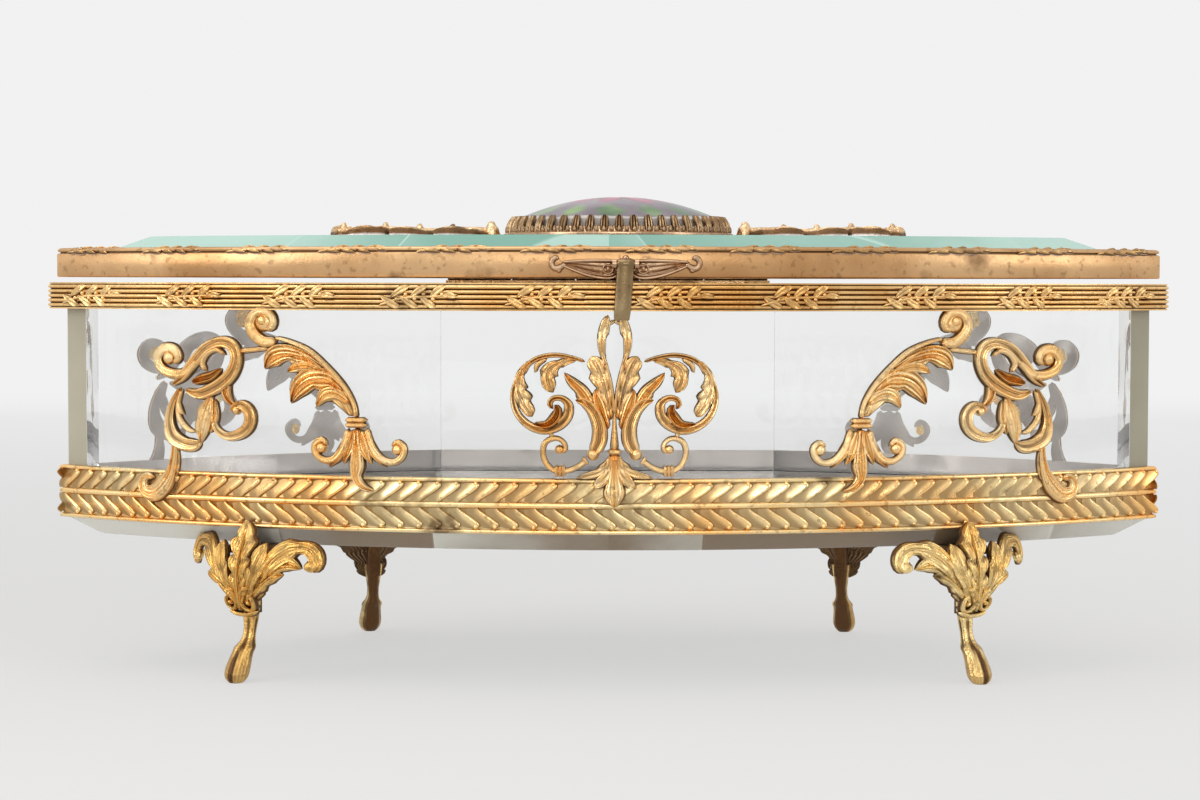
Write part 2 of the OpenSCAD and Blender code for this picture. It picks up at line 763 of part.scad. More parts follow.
module spray_drawing() {
  stroke(bezier([0, 0], [12, 3.4], [24, -4.2], [35.5, 0.6], 14), [2.6, 4, 2.4]);
  stroke(spiral([37.4, 3.2], 3.4, 2, -120, 150, 14), [2.4, 2.6, 2]);
  for (i = [0 : 3])
    for (s = [-1, 1]) {
      x = leaf_first + i * leaf_pitch;
      reach = leaf_reach - i * leaf_taper;
      curve = bezier([x, 0], [x + 4, s * 1.5], [x + 5, s * (reach - 1)], [x + 10, s * reach], 8);
      stroke(curve, [1.6, 4.6, 0.8]);
    }
}

module spray() color("sandybrown") {
  $kx = spray_len / spray_draw.x;
  $kz = spray_w / spray_draw.y;
  $thick = spray_t;
  translate([bezel_r + spray_gap, 0, 0]) {
    spray_drawing();
    for (p = fitted(berry_places))
      translate([p.x, p.y, spray_t - berry_r * berry_sink])
        sphere(berry_r, $fn = small);
  }
}

module lid_spray_right() on_medallion() spray();
module lid_spray_left() on_medallion() mirror([1, 0, 0]) spray();

// Clasp
module at_pivot() translate([clasp_x, pivot_y, pivot_z]) rotate([0, 90, 0]) children();

// Half width at which the plaque is drawn
wing_draw = 17.8;

module clasp_wing() {
  leaf([[-0.1, -2.6], [3, -3.2], [6.5, -3.1], [11, -1.9], [14.4, -1], [15.6, -1.6], [17.8, 0.2], [16.8, 1.6],
    [14.4, 1], [10, 0.9], [5, 1.4], [2.4, 2.2], [-0.1, 2.4]]);
}

module clasp_plaque() color(dark_brass) {
  inner = front_r + lid_out + lid_fit;
  ear_x = tongue_w / 2 + ear_gap;
  difference() {
    union() {
      intersection() {
        difference() {
          translate([0, front_cy, rail_z - 1]) cylinder(h = rail_h + 1, r = inner + plaque_t, $fn = big);
          translate([0, front_cy, rail_z - 2]) cylinder(h = rail_h + 3, r = inner, $fn = big);
        }
        translate([clasp_x, front_cy / 2, pivot_z - plaque_drop])
          rotate([90, 0, 0]) {
            $thick = far;
            $kx = plaque_half / wing_draw;
            $kz = 1;
            clasp_wing();
            mirror([1, 0, 0]) clasp_wing();
          }
      }
      for (s = [-1, 1])
        translate([s * (ear_x + ear_t / 2), 0, 0]) {
          at_pivot() cylinder(h = ear_t, r = eye_r, center = true, $fn = small);
          translate([clasp_x - ear_t / 2, pivot_y, pivot_z - eye_r])
            cube([ear_t, pivot_out - plaque_t / 2, 2 * eye_r]);
        }
    }
    at_pivot() cylinder(h = far, r = pivot_r + pivot_fit, center = true, $fn = small);
  }
}

module clasp_pin() color(dark_brass) {
  at_pivot() cylinder(h = tongue_w + 2 * (ear_gap + ear_t), r = pivot_r, center = true, $fn = small);
}

module clasp_tongue() color("darkgoldenrod") {
  difference() {
    union() {
      at_pivot() cylinder(h = tongue_w, r = eye_r, center = true, $fn = small);
      translate([clasp_x - tongue_w / 2, pivot_y - tongue_t / 2, pivot_z - tongue_len])
        cube([tongue_w, tongue_t, tongue_len]);
    }
    at_pivot() cylinder(h = far, r = pivot_r + pivot_fit, center = true, $fn = small);
  }
}

base_glass();
front_glass();
left_glass();
right_glass();
back_glass();
strip_front() lower_ring();  // lower_band_front
strip_left() lower_ring();  // lower_band_left
strip_right() lower_ring();  // lower_band_right
strip_back() lower_ring();  // lower_band_back
strip_front() upper_strip();  // upper_band_front
strip_left() upper_strip();  // upper_band_left
strip_right() upper_strip();  // upper_band_right
strip_back() upper_strip();  // upper_band_back
front_left_mount();
front_centre_mount();
front_right_mount();
rear_left_mount();
rear_right_mount();
front_left_foot();
front_right_foot();
rear_left_foot();
rear_right_foot();
hinge_body_leaf();
hinge_lid_leaf();
hinge_pin();
lid_glass();
strip_front() lid_ring();  // lid_rail_front
strip_left() lid_ring();  // lid_rail_left
strip_right() lid_ring();  // lid_rail_right
strip_back() lid_ring();  // lid_rail_back
medallion_plate();
medallion_bezel();
medallion_dome();
lid_spray_left();
lid_spray_right();
clasp_plaque();
clasp_pin();
clasp_tongue();
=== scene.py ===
"""The dressed casket: bevelled glass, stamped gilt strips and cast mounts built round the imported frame."""

import logging
import math
from dataclasses import dataclass, field, replace
from enum import Enum
from typing import Callable, Iterable, Sequence

import bmesh
import bpy
import numpy as np
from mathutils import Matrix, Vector


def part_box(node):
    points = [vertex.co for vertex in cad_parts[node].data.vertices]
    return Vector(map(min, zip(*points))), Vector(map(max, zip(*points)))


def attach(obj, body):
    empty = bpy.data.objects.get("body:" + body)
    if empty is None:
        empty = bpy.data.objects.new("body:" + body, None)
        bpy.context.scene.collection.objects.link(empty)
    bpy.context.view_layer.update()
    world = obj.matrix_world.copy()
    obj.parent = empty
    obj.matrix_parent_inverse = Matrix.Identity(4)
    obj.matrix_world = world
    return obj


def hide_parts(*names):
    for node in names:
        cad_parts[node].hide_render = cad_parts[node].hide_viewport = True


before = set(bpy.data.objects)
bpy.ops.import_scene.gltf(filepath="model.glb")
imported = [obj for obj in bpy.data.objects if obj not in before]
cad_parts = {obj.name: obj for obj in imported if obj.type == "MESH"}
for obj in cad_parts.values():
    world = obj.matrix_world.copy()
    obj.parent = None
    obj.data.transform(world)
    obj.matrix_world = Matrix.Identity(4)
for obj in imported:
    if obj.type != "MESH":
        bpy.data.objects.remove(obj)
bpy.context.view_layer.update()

LOG = logging.getLogger("casket")
MM = 0.001
MERGE = 1e-7
GLASS_IOR = 1.5
CREASE = 48.0
# Recess value of the backs of castings, which take the flat painted back colour instead of the gilding.
BACK_FACE = 2.0
STATIONS = {"front": 121, "right": 61, "back": 9, "left": 61}

Array = np.ndarray
Pair = tuple[float, float]
Rows = Sequence[Sequence[float]]
Place = Callable[[Array, Array, Array], Array]
Colour = tuple[float, float, float]
Point = tuple[float, float, float]
Material = bpy.types.Material
Node = bpy.types.Node
Object = bpy.types.Object
Socket = bpy.types.NodeSocket
Tree = bpy.types.NodeTree


class Body(str, Enum):
    """The moving bodies of the casket."""

    CASKET = "casket"
    LID = "lid"
    TONGUE = "tongue"


class Carve(Enum):
    """How the face of a cast strap is worked."""

    ROUND = "round"
    SCROLL = "scroll"
    LEAF = "leaf"
    FLUTED = "fluted"


ROUND, SCROLL, LEAF, FLUTED = Carve


def spline(rows: Rows) -> Array:
    """A smooth curve through all the given rows.

    Args:
        rows: Place and any other values of each stop, all of one length.

    Returns:
        Eight times as many rows, with every column run smoothly.
    """
    p = np.array(rows, float)
    p = np.concatenate([2 * p[:1] - p[1:2], p, 2 * p[-1:] - p[-2:-1]])
    t = np.linspace(0, 1, 8, endpoint=False)[:, None]
    parts = [
        0.5 * (2 * b + (c - a) * t + (2 * a - 5 * b + 4 * c - d) * t**2 + (3 * b - a - 3 * c + d) * t**3)
        for a, b, c, d in zip(p, p[1:], p[2:], p[3:])
    ]
    return np.concatenate(parts + [p[-2:-1]])


def full_turn(count: int) -> Array:
    """The angles of so many even steps round a circle."""
    return np.linspace(0, 2 * np.pi, count, endpoint=False)


def respaced(path: Array, step: float) -> Array:
    """The same path with evenly spaced points.

    Args:
        path: Points of the path, one per row.
        step: Wanted distance between points.

    Returns:
        At least seven points along the path.
    """
    length = np.concatenate([[0], np.cumsum(np.linalg.norm(np.diff(path, axis=0), axis=1))])
    count = max(7, int(length[-1] / step) + 1)
    at = np.linspace(0, length[-1], count)
    return np.stack([np.interp(at, length, path[:, k]) for k in range(path.shape[1])], 1)


def tube_faces(rings: int, per: int, closed: bool = False) -> list[tuple[int, ...]]:
    """Faces of a tube made of rings of points.

    Args:
        rings: Number of rings.
        per: Points in each ring.
        closed: True if the last ring joins the first, and False for capped ends.

    Returns:
        Quads between the rings, and the two end caps of an open tube.
    """
    faces: list[tuple[int, ...]] = []
    for i in range(rings if closed else rings - 1):
        a, b = i * per, (i + 1) % rings * per
        faces += [(a + j, a + (j + 1) % per, b + (j + 1) % per, b + j) for j in range(per)]
    if not closed:
        faces += [tuple(reversed(range(per))), tuple(range((rings - 1) * per, rings * per))]
    return faces


@dataclass
class Shell:
    """One closed surface in millimetres, with how deep its points lie and where across a strap."""

    points: Array
    faces: list[tuple[int, ...]]
    recess: Array
    across: Array
    slots: list[int]

    def mapped(self, place: Place) -> "Shell":
        """The shell with its drawing places turned into places on the object."""
        p = self.points
        return replace(self, points=place(p[:, 0], p[:, 1], p[:, 2]))

    def mirrored(self) -> "Shell":
        """The shell seen in a mirror across X."""
        return replace(self, points=self.points * (-1, 1, 1))


def loft(
    rings: Array,
    recess: Array | None = None,
    closed: bool = False,
    across: Array | None = None,
    slots: Sequence[int] | None = None,
) -> Shell:
    """A shell through rings of points.

    Args:
        rings: Points as ring, place in the ring, and X, Y, Z.
        recess: Depth mask for each point, or None for none.
        closed: True if the last ring joins the first.
        across: Place across the strap for each point, or None for none.
        slots: Material slot of each band between rings, and then of each end cap.

    Returns:
        The closed shell.
    """
    n, m = rings.shape[:2]
    masks = [np.broadcast_to(0.0 if k is None else k, (n, m)).reshape(-1) for k in (recess, across)]
    faces = tube_faces(n, m, closed)
    chosen = [0] * len(faces)
    if slots:
        chosen = [k for k in slots[: n - 1] for _ in range(m)] + list(slots[n - 1 :])
    return Shell(rings.reshape(-1, 3), faces, *masks, chosen)


def lathe(profile: Rows, centre: Sequence[float], count: int) -> Shell:
    """A turned shell.

    Args:
        profile: Radius and height of each point of a closed outline.
        centre: X and Y of the axis.
        count: Number of steps round the axis.

    Returns:
        The closed shell, which goes round the axis once.
    """
    outline = np.array(profile, float)
    turn = full_turn(count)[:, None]
    x = centre[0] + outline[:, 0] * np.cos(turn)
    y = centre[1] + outline[:, 0] * np.sin(turn)
    return loft(np.stack([x, y, np.broadcast_to(outline[:, 1], x.shape)], -1), closed=True)


@dataclass
class Relief:
    """A casting as it is drawn: X along, Y up and the third value out of the drawing."""

    step: float = 0.8
    leaf_growth: float = 1.22
    least_width: float = 0.05
    least_tip: float = 0.15
    shells: list[Shell] = field(default_factory=list)

    def strap(
        self,
        rows: Rows,
        carve: Carve = ROUND,
        rise: float = 1.8,
        lobes: tuple[int, int] = (0, 0),
        lift: float = 0.0,
        across: int = 9,
    ) -> None:
        """Adds a strap that runs smoothly through the given stops.

        Args:
            rows: X, Y and half width of each stop, or its half widths to the left and to the right.
            carve: How its face is worked.
            rise: Height of its crest.
            lobes: Number of ragged lobes on its left and right edge.
            lift: Height of its back over the ground.
            across: Number of points across its face.
        """
        path = respaced(spline([(*r, r[-1]) if len(r) == 3 else r for r in rows]), self.step)
        grown = self.leaf_growth if carve in (LEAF, FLUTED) else 1.0
        p, wide = path[:, :2], np.maximum(path[:, 2:] * grown, self.least_width)
        along = np.concatenate([[0], np.cumsum(np.linalg.norm(np.diff(p, axis=0), axis=1))])
        t = along / along[-1]
        ends = [
            np.clip(1 - d / max(self.least_tip, float(w.mean())), 0, 1)
            for d, w in ((along, wide[0]), (along[-1] - along, wide[-1]))
        ]
        blunt = np.sqrt(np.clip(1 - np.maximum(*ends) ** 2, 0.03, 1))
        d = np.gradient(p, axis=0)
        normal = np.stack([-d[:, 1], d[:, 0]], 1) / np.linalg.norm(d, axis=1)[:, None]
        u = np.linspace(1, -1, across)
        left, right = (wide[:, k] * ragged(t, lobes[k]) * blunt for k in (0, 1))
        offset = np.where(u > 0, left[:, None] * u, right[:, None] * u)
        shape = carved(carve, u[None, :], t[:, None], max(lobes))
        full = (wide.sum(1) / float(wide.sum(1).max()))[:, None]
        height = rise * (0.28 + 0.72 * shape) * (0.5 + 0.5 * np.sqrt(full)) * (0.35 + 0.65 * blunt[:, None])
        top = np.concatenate([p[:, None] + offset[..., None] * normal[:, None], height[..., None]], -1)
        top[..., 2] += lift
        back = top[:, [-1, 0]].copy()
        back[..., 2] = lift
        depth = np.concatenate([1 - shape, np.full((len(p), 2), BACK_FACE)], 1)
        lines = np.broadcast_to(np.concatenate([u, [-1, 1]]), (len(p), across + 2))
        self.shells.append(loft(np.concatenate([top, back], 1), depth, across=lines))

    def bud(
        self,
        at: Sequence[float],
        radius: float,
        rise: float,
        turns: float = 0.0,
        lift: float = 0.0,
        fine: int = 8,
    ) -> None:
        """Adds a round knob, with a groove that winds into it.

        Args:
            at: Middle of the knob.
            radius: Its radius.
            rise: Height of its crest.
            turns: How far the groove winds, and 0 for a smooth knob.
            lift: Height of its back over the ground.
            fine: Number of rings on it.
        """
        rho = np.sin(np.linspace(0.04, 0.5, fine) * np.pi)[:, None]
        phi = full_turn(int(2.5 * fine))[None, :]
        groove = (0.5 + 0.5 * np.cos(phi + turns * 2 * np.pi * rho)) ** 3 * min(1.0, abs(turns)) * rho
        h = lift + rise * (0.12 + 0.88 * np.sqrt(np.clip(1 - rho**2, 0, 1))) * (1 - 0.4 * groove)
        rings = np.stack([at[0] + radius * rho * np.cos(phi), at[1] + radius * rho * np.sin(phi), h], -1)
        base = rings[-1:].copy()
        base[..., 2] = lift
        self.shells.append(loft(np.concatenate([rings, base]), np.concatenate([groove, groove[-1:]], 0)))

    def collar(self, at: Sequence[float], size: Sequence[float], rise: float, ribs: int) -> None:
        """Adds a short ribbed band that ties straps together.

        Args:
            at: Middle of the band.
            size: Its length along X and its height along Y.
            rise: Height of its crest.
            ribs: Number of ribs along its height.
        """
        half, thick = size[0] / 2, 0.62 * size[1] / ribs
        for i in range(ribs):
            y = at[1] + size[1] * ((i + 0.5) / ribs - 0.5)
            self.strap([(at[0] + k * half, y, thick) for k in (-1, -0.5, 0, 0.5, 1)], ROUND, rise, across=7)

    def both_sides(self) -> "Relief":
        """The relief with its mirror image added."""
        return replace(self, shells=self.shells + [s.mirrored() for s in self.shells])


def ragged(t: Array, lobes: int) -> Array:
    """How deep the lobes of an edge cut into a strap.

    Args:
        t: Place along the strap, from 0 to 1.
        lobes: Number of lobes.

    Returns:
        The share of its width that the edge keeps at each place.
    """
    if not lobes:
        return np.ones_like(t)
    saw = np.mod(lobes * t * 0.96 + 0.02, 1.0)
    return 1 - 0.34 * np.where(saw > 0.8, (saw - 0.8) / 0.2, np.clip(1 - saw / 0.8, 0, 1) ** 1.4)


def carved(carve: Carve, u: Array, t: Array, lobes: int) -> Array:
    """Height of a worked face, from 0 in its deepest hollow to 1 on its crest.

    Args:
        carve: How the face is worked.
        u: Place across the strap, from -1 to 1.
        t: Place along it, from 0 to 1.
        lobes: Number of lobes that the veins lead to.

    Returns:
        The height at each place.
    """
    a = np.abs(u)
    edge = np.sqrt(np.clip(1 - a**5, 0, 1))
    if carve is ROUND:
        shape = np.sqrt(np.clip(1 - a**2, 0, 1))
    elif carve is SCROLL:
        shape = (0.68 + 0.32 * np.cos(2 * np.pi * (a - 0.62) / 1.24)) * edge
    elif carve is FLUTED:
        shape = (0.4 + 0.6 * np.abs(np.cos(2 * np.pi * u))) * edge
    else:
        saw = np.mod(max(lobes, 2) * t * 0.96 + 0.02 + 0.5 * (1 - a), 1.0)
        vein = 1 - 0.7 * a**0.5 * np.exp(-((np.minimum(saw, 1 - saw) / 0.16) ** 2))
        rib = 1 - 0.3 * np.exp(-((u / 0.12) ** 2))
        fine = 1 - 0.16 * np.abs(np.sin(3.5 * np.pi * u))
        shape = (1 - 0.35 * (1 - a) ** 2) * vein * rib * fine * edge
    return np.broadcast_to(shape, np.broadcast_shapes(u.shape, t.shape))


class Casting:
    """Gathers shells and makes them one piece."""

    def __init__(self, name: str, body: Body, slot: str, finishes: Sequence[Material]) -> None:
        """Starts an empty casting.

        Args:
            name: Name of the piece.
            body: The body that it rides on.
            slot: The record's material slot.
            finishes: Its materials, in the order of the shells' slots.
        """
        self.name, self.body, self.slot, self.finishes = name, body, slot, finishes
        self.shells: list[Shell] = []

    def add(self, shells: Iterable[Shell], place: Place | None = None, flip: bool = False) -> "Casting":
        """Adds shells.

        Args:
            shells: The shells to add.
            place: Turns drawing places into places on the object, or None if they are there already.
            flip: True to put them on the other side of the casket.

        Returns:
            The casting itself.
        """
        for shell in shells:
            put = shell.mapped(place) if place else shell
            self.shells.append(put.mirrored() if flip else put)
        return self

    def mesh_object(self, crease: float = CREASE) -> Object:
        """Makes the gathered shells one mesh object.

        Args:
            crease: Angle in degrees past which an edge is sharp.

        Returns:
            The new object, at the origin.
        """
        starts = np.cumsum([0] + [len(s.points) for s in self.shells])
        faces = [tuple(int(i) + int(a) for i in f) for s, a in zip(self.shells, starts) for f in s.faces]
        mesh = bpy.data.meshes.new(self.name)
        mesh.from_pydata(np.concatenate([s.points for s in self.shells]) * MM, [], faces)
        for name in ("recess", "across"):
            values = np.concatenate([getattr(s, name) for s in self.shells]).astype(np.float32)
            mesh.attributes.new(name, "FLOAT", "POINT").data.foreach_set("value", values)
        for finish in self.finishes:
            mesh.materials.append(finish)
        mesh.polygons.foreach_set("material_index", [k for s in self.shells for k in s.slots])
        obj = linked(self.name, mesh)
        tidy_mesh(obj, crease)
        return obj

    def piece(self, *replaced: str, crease: float = CREASE) -> Object:
        """Makes the gathered shells a piece that rides on its body.

        Args:
            replaced: CAD nodes that the piece stands for.
            crease: Angle in degrees past which an edge is sharp.

        Returns:
            The finished piece.
        """
        return settle(self.mesh_object(crease=crease), self.body, self.slot, *replaced)


def linked(name: str, data: bpy.types.ID) -> Object:
    """Makes a new object in the scene.

    Args:
        name: Its name.
        data: The mesh, lamp or camera that it shows.

    Returns:
        The object.
    """
    obj = bpy.data.objects.new(name, data)
    bpy.context.scene.collection.objects.link(obj)
    return obj


def tidy_mesh(obj: Object, crease: float) -> None:
    """Turns the faces outwards and shades them smoothly up to the crease angle.

    Args:
        obj: The mesh object.
        crease: Angle in degrees past which an edge is sharp.
    """
    bm = bmesh.new()
    bm.from_mesh(obj.data)
    bmesh.ops.remove_doubles(bm, verts=bm.verts, dist=MERGE)
    bmesh.ops.recalc_face_normals(bm, faces=bm.faces)
    bm.to_mesh(obj.data)
    bm.free()
    obj.data.shade_smooth()
    obj.data.set_sharp_from_angle(angle=math.radians(crease))


def settle(obj: Object, body: Body, slot: str, *replaced: str) -> Object:
    """Puts a finished mesh on its body.

    Args:
        obj: The mesh object, at the origin.
        body: The body that it rides on.
        slot: The record's material slot, which is not used.
        replaced: CAD nodes that it stands for.

    Returns:
        The same object.
    """
    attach(obj, body.value)
    if replaced:
        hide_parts(*replaced)
    LOG.info("%s: %d faces on %s", obj.name, len(obj.data.polygons), body.value)
    return obj


@dataclass(frozen=True)
class Edge:
    """A line in plan at which a strip is cut, as a point and a direction."""

    point: Pair
    direction: Pair

    def mirrored(self) -> "Edge":
        """The same line on the other side of the casket."""
        return Edge((-self.point[0], self.point[1]), (-self.direction[0], self.direction[1]))


@dataclass(frozen=True)
class Wall:
    """One face of the casket in plan, measured in millimetres along the glass from its middle."""

    centre: Pair
    radius: float
    facing: float
    start: Edge
    end: Edge
    flip: bool = False

    def place(self, s: Array, z: Array, out: Array) -> Array:
        """Places on the face.

        Args:
            s: Distance along the face.
            z: Height.
            out: Distance in front of the glass.

        Returns:
            X, Y and Z, with one more axis than the arguments.
        """
        s, z, out = np.broadcast_arrays(*(np.asarray(v, float) for v in (s, z, out)))
        if self.radius:
            turn = self.facing + s / self.radius
            x = self.centre[0] + (self.radius + out) * np.cos(turn)
            y = self.centre[1] + (self.radius + out) * np.sin(turn)
        else:
            c, k = math.cos(self.facing), math.sin(self.facing)
            x = self.centre[0] + out * c - s * k
            y = self.centre[1] + out * k + s * c
        return np.stack([-x if self.flip else x, y, z], -1)

    def along(self, x: float) -> float:
        """Distance along a bowed front to the given X."""
        return self.radius * math.asin(x / self.radius)

    def limit(self, edge: Edge, out: float) -> float:
        """Distance along the face at which the cut line crosses it.

        Args:
            edge: The cut line.
            out: Distance in front of the glass.

        Returns:
            The distance from the middle of the face.
        """
        p = np.array(edge.point) - self.centre
        d = np.array(edge.direction)
        n = np.array([math.cos(self.facing), math.sin(self.facing)])
        if not self.radius:
            at = p + (out - p @ n) / (d @ n) * d
            return float(at @ np.array([-n[1], n[0]]))
        b = p @ d
        root = math.sqrt(b * b - p @ p + (self.radius + out) ** 2)
        at = p + min((-b - root, -b + root), key=abs) * d
        turn = math.atan2(at[1], at[0]) - self.facing
        return math.remainder(turn, 2 * math.pi) * self.radius

    def strip(self, profile: Rows, count: int) -> Shell:
        """A strip along the whole face, mitred at its ends.

        Args:
            profile: Distance out, height and recess of each point of a closed outline.
            count: Number of stations along the strip.

        Returns:
            The closed shell.
        """
        rows = np.array(profile, float)
        ends = [np.array([self.limit(e, o) for o in rows[:, 0]]) for e in (self.start, self.end)]
        f = np.linspace(0, 1, count)[:, None]
        s = ends[0] + f * (ends[1] - ends[0])
        return loft(self.place(s, rows[:, 1], rows[:, 0]), rows[:, 2])

    def path(self, z: float, out: float, pitch: float) -> Array:
        """A line along the face that leaves half a pitch at each end.

        Args:
            z: Height of the line.
            out: Its distance in front of the glass.
            pitch: Distance between the copies that will stand on it.

        Returns:
            Points along the line.
        """
        a, b = self.limit(self.start, out), self.limit(self.end, out)
        line = self.place(np.linspace(a + pitch / 2, b - pitch / 2, 160), z, out)
        return line[::-1] if self.flip else line

    def mirrored(self) -> "Wall":
        """The same wall on the other side of the casket."""
        return replace(self, flip=not self.flip)


@dataclass(frozen=True)
class Plan:
    """Plan of the glass body in millimetres: a bowed front, two curved sides and a flat back."""

    half_width: float
    front_y: float
    back_y: float
    back_half: float
    bow: float = 43.5
    bulge: float = 9.0

    @classmethod
    def from_frame(cls) -> "Plan":
        """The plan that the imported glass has."""
        low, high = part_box("base_glass")
        return cls(high.x / MM, low.y / MM, high.y / MM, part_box("right_glass")[0].x / MM)

    @property
    def front(self) -> Wall:
        """The bowed front."""
        radius = (self.half_width**2 + self.bow**2) / (2 * self.bow)
        return Wall((0, self.front_y + radius), radius, -math.pi / 2, self.mitre.mirrored(), self.mitre)

    @property
    def side(self) -> Wall:
        """The curved right side.

        Returns:
            The wall, from its front mitre to the back.
        """
        corner, back = self.corner, (self.back_half, self.back_y)
        dx, dy = corner[0] - back[0], back[1] - corner[1]
        chord = math.hypot(dx, dy)
        radius = chord**2 / (8 * self.bulge) + self.bulge / 2
        lean = math.atan2(dy, dx)
        reach = self.bulge - radius
        centre = (
            (corner[0] + back[0]) / 2 + reach * math.sin(lean),
            (corner[1] + back[1]) / 2 + reach * math.cos(lean),
        )
        return Wall(centre, radius, math.pi / 2 - lean, self.mitre, Edge(back, (0, 1)))

    @property
    def back(self) -> Wall:
        """The flat back."""
        right = Edge((self.back_half, self.back_y), (0, 1))
        return Wall((0, self.back_y), 0, math.pi / 2, right, right.mirrored())

    @property
    def corner(self) -> Pair:
        """The right front corner."""
        return self.half_width, self.front_y + self.bow

    @property
    def mitre(self) -> Edge:
        """Where the front strips meet the right side strips.

        Returns:
            The line of the cut, through the right front corner.
        """
        half = math.asin(self.half_width / ((self.half_width**2 + self.bow**2) / (2 * self.bow)))
        dx, dy = self.half_width - self.back_half, self.back_y - self.corner[1]
        chord = math.hypot(dx, dy)
        radius = chord**2 / (8 * self.bulge) + self.bulge / 2
        steep = math.atan2(dy, dx) + math.asin(chord / 2 / radius)
        along = np.array([-math.cos(half) - math.cos(steep), math.sin(steep) - math.sin(half)])
        along /= np.linalg.norm(along)
        return Edge(self.corner, (float(along[0]), float(along[1])))

    def walls(self) -> dict[str, Wall]:
        """The four faces by name."""
        side = self.side
        return {"front": self.front, "right": side, "back": self.back, "left": side.mirrored()}

    def paths(self, z: float, out: float, pitch: float) -> list[Array]:
        """A line along each wall for copies at the given height, distance out and pitch."""
        return [wall.path(z, out, pitch) for wall in self.walls().values()]

    def strips(self, profile: Rows, piece: str, node: str, *look: object) -> None:
        """Makes a mitred strip on each wall.

        Args:
            profile: Distance out, height and recess of each point of the strip's outline.
            piece: Start of the pieces' names.
            node: Start of the names of the CAD nodes that they stand for.
            look: Their body, their slot and their finishes.
        """
        for name, wall in self.walls().items():
            casting = Casting(f"{piece}_{name}", *look)
            casting.add([wall.strip(profile, STATIONS[name])]).piece(f"{node}_{name}")


class NodeBuilder:
    """Adds nodes to a tree and links them."""

    def __init__(self, tree: Tree) -> None:
        """Works on the given tree."""
        self.tree = tree

    def add(self, kind: str, inputs: dict | None = None, **settings: object) -> Node:
        """Adds a node.

        Args:
            kind: Its type.
            inputs: Values or sockets for its inputs, by name or number.
            settings: Its other settings.

        Returns:
            The new node.
        """
        node = self.tree.nodes.new(kind)
        for name, value in settings.items():
            setattr(node, name, value)
        self.fill(node, inputs or {})
        return node

    def fill(self, node: Node, inputs: dict) -> None:
        """Feeds values or sockets to a node's inputs, by name or number."""
        for key, value in inputs.items():
            self.feed(node.inputs[key], value)

    def feed(self, socket: Socket, value: object) -> None:
        """Links a socket into an input, or sets its value.

        Args:
            socket: The input.
            value: A socket to link into it, or its new value.
        """
        if isinstance(value, Socket):
            self.tree.links.new(value, socket)
        else:
            socket.default_value = value

    def math(self, operation: str, *values: object) -> Socket:
        """The result of a sum on values or sockets."""
        return self.add("ShaderNodeMath", dict(enumerate(values)), operation=operation).outputs[0]

    def times(self, a: object, b: object) -> Socket:
        """a multiplied by b."""
        return self.math("MULTIPLY", a, b)

    def plus(self, a: object, b: object) -> Socket:
        """a and b added up."""
        return self.math("ADD", a, b)

    def minus(self, a: object, b: object) -> Socket:
        """a less b."""
        return self.math("SUBTRACT", a, b)

    def mix(self, factor: object, a: object, b: object) -> Socket:
        """The colour between a and b."""
        node = self.add("ShaderNodeMix", {0: factor, 6: a, 7: b}, data_type="RGBA")
        return node.outputs[2]

    def ramp(self, value: object, low: float, high: float) -> Socket:
        """A smooth step from 0 at low to 1 at high."""
        node = self.add("ShaderNodeMapRange", {0: value, 1: low, 2: high}, interpolation_type="SMOOTHSTEP")
        return node.outputs[0]

    def axes(self, kind: str = "Object") -> bpy.types.bpy_prop_collection:
        """X, Y and Z of the object's own coordinates, or of the kind given."""
        at = self.add("ShaderNodeTexCoord").outputs[kind]
        return self.add("ShaderNodeSeparateXYZ", {0: at}).outputs

    def absorb(self, out: Node, tint: Colour, density: float) -> None:
        """Fills a material with a clear mass that takes on a tint."""
        inside = self.add("ShaderNodeVolumeAbsorption", {"Color": (*tint, 1.0), "Density": density})
        self.feed(out.inputs["Volume"], inside.outputs[0])

    def noise(self, scale: float, detail: float) -> Socket:
        """Noise on the object's own coordinates.

        Args:
            scale: Number of grains in a metre.
            detail: Number of finer layers.

        Returns:
            The noise, from 0 to 1.
        """
        at = self.add("ShaderNodeTexCoord").outputs["Object"]
        return self.add("ShaderNodeTexNoise", {"Vector": at, "Scale": scale, "Detail": detail}).outputs[0]


def group_with(name: str, inputs: dict[str, object], outputs: dict[str, str]) -> tuple:
    """A new shader node group.

    Args:
        name: Its name.
        inputs: Default value of each input, where a number is a float and a tuple a colour.
        outputs: Kind of each output.

    Returns:
        The tree, its builder, its input node and its output node.
    """
    tree = bpy.data.node_groups.new(name, "ShaderNodeTree")
    for key, value in inputs.items():
        kind = "NodeSocket" + ("Float" if isinstance(value, float) else "Color")
        tree.interface.new_socket(key, in_out="INPUT", socket_type=kind).default_value = value
    for key, kind in outputs.items():
        tree.interface.new_socket(key, in_out="OUTPUT", socket_type="NodeSocket" + kind)
    build = NodeBuilder(tree)
    return tree, build, build.add("NodeGroupInput"), build.add("NodeGroupOutput")


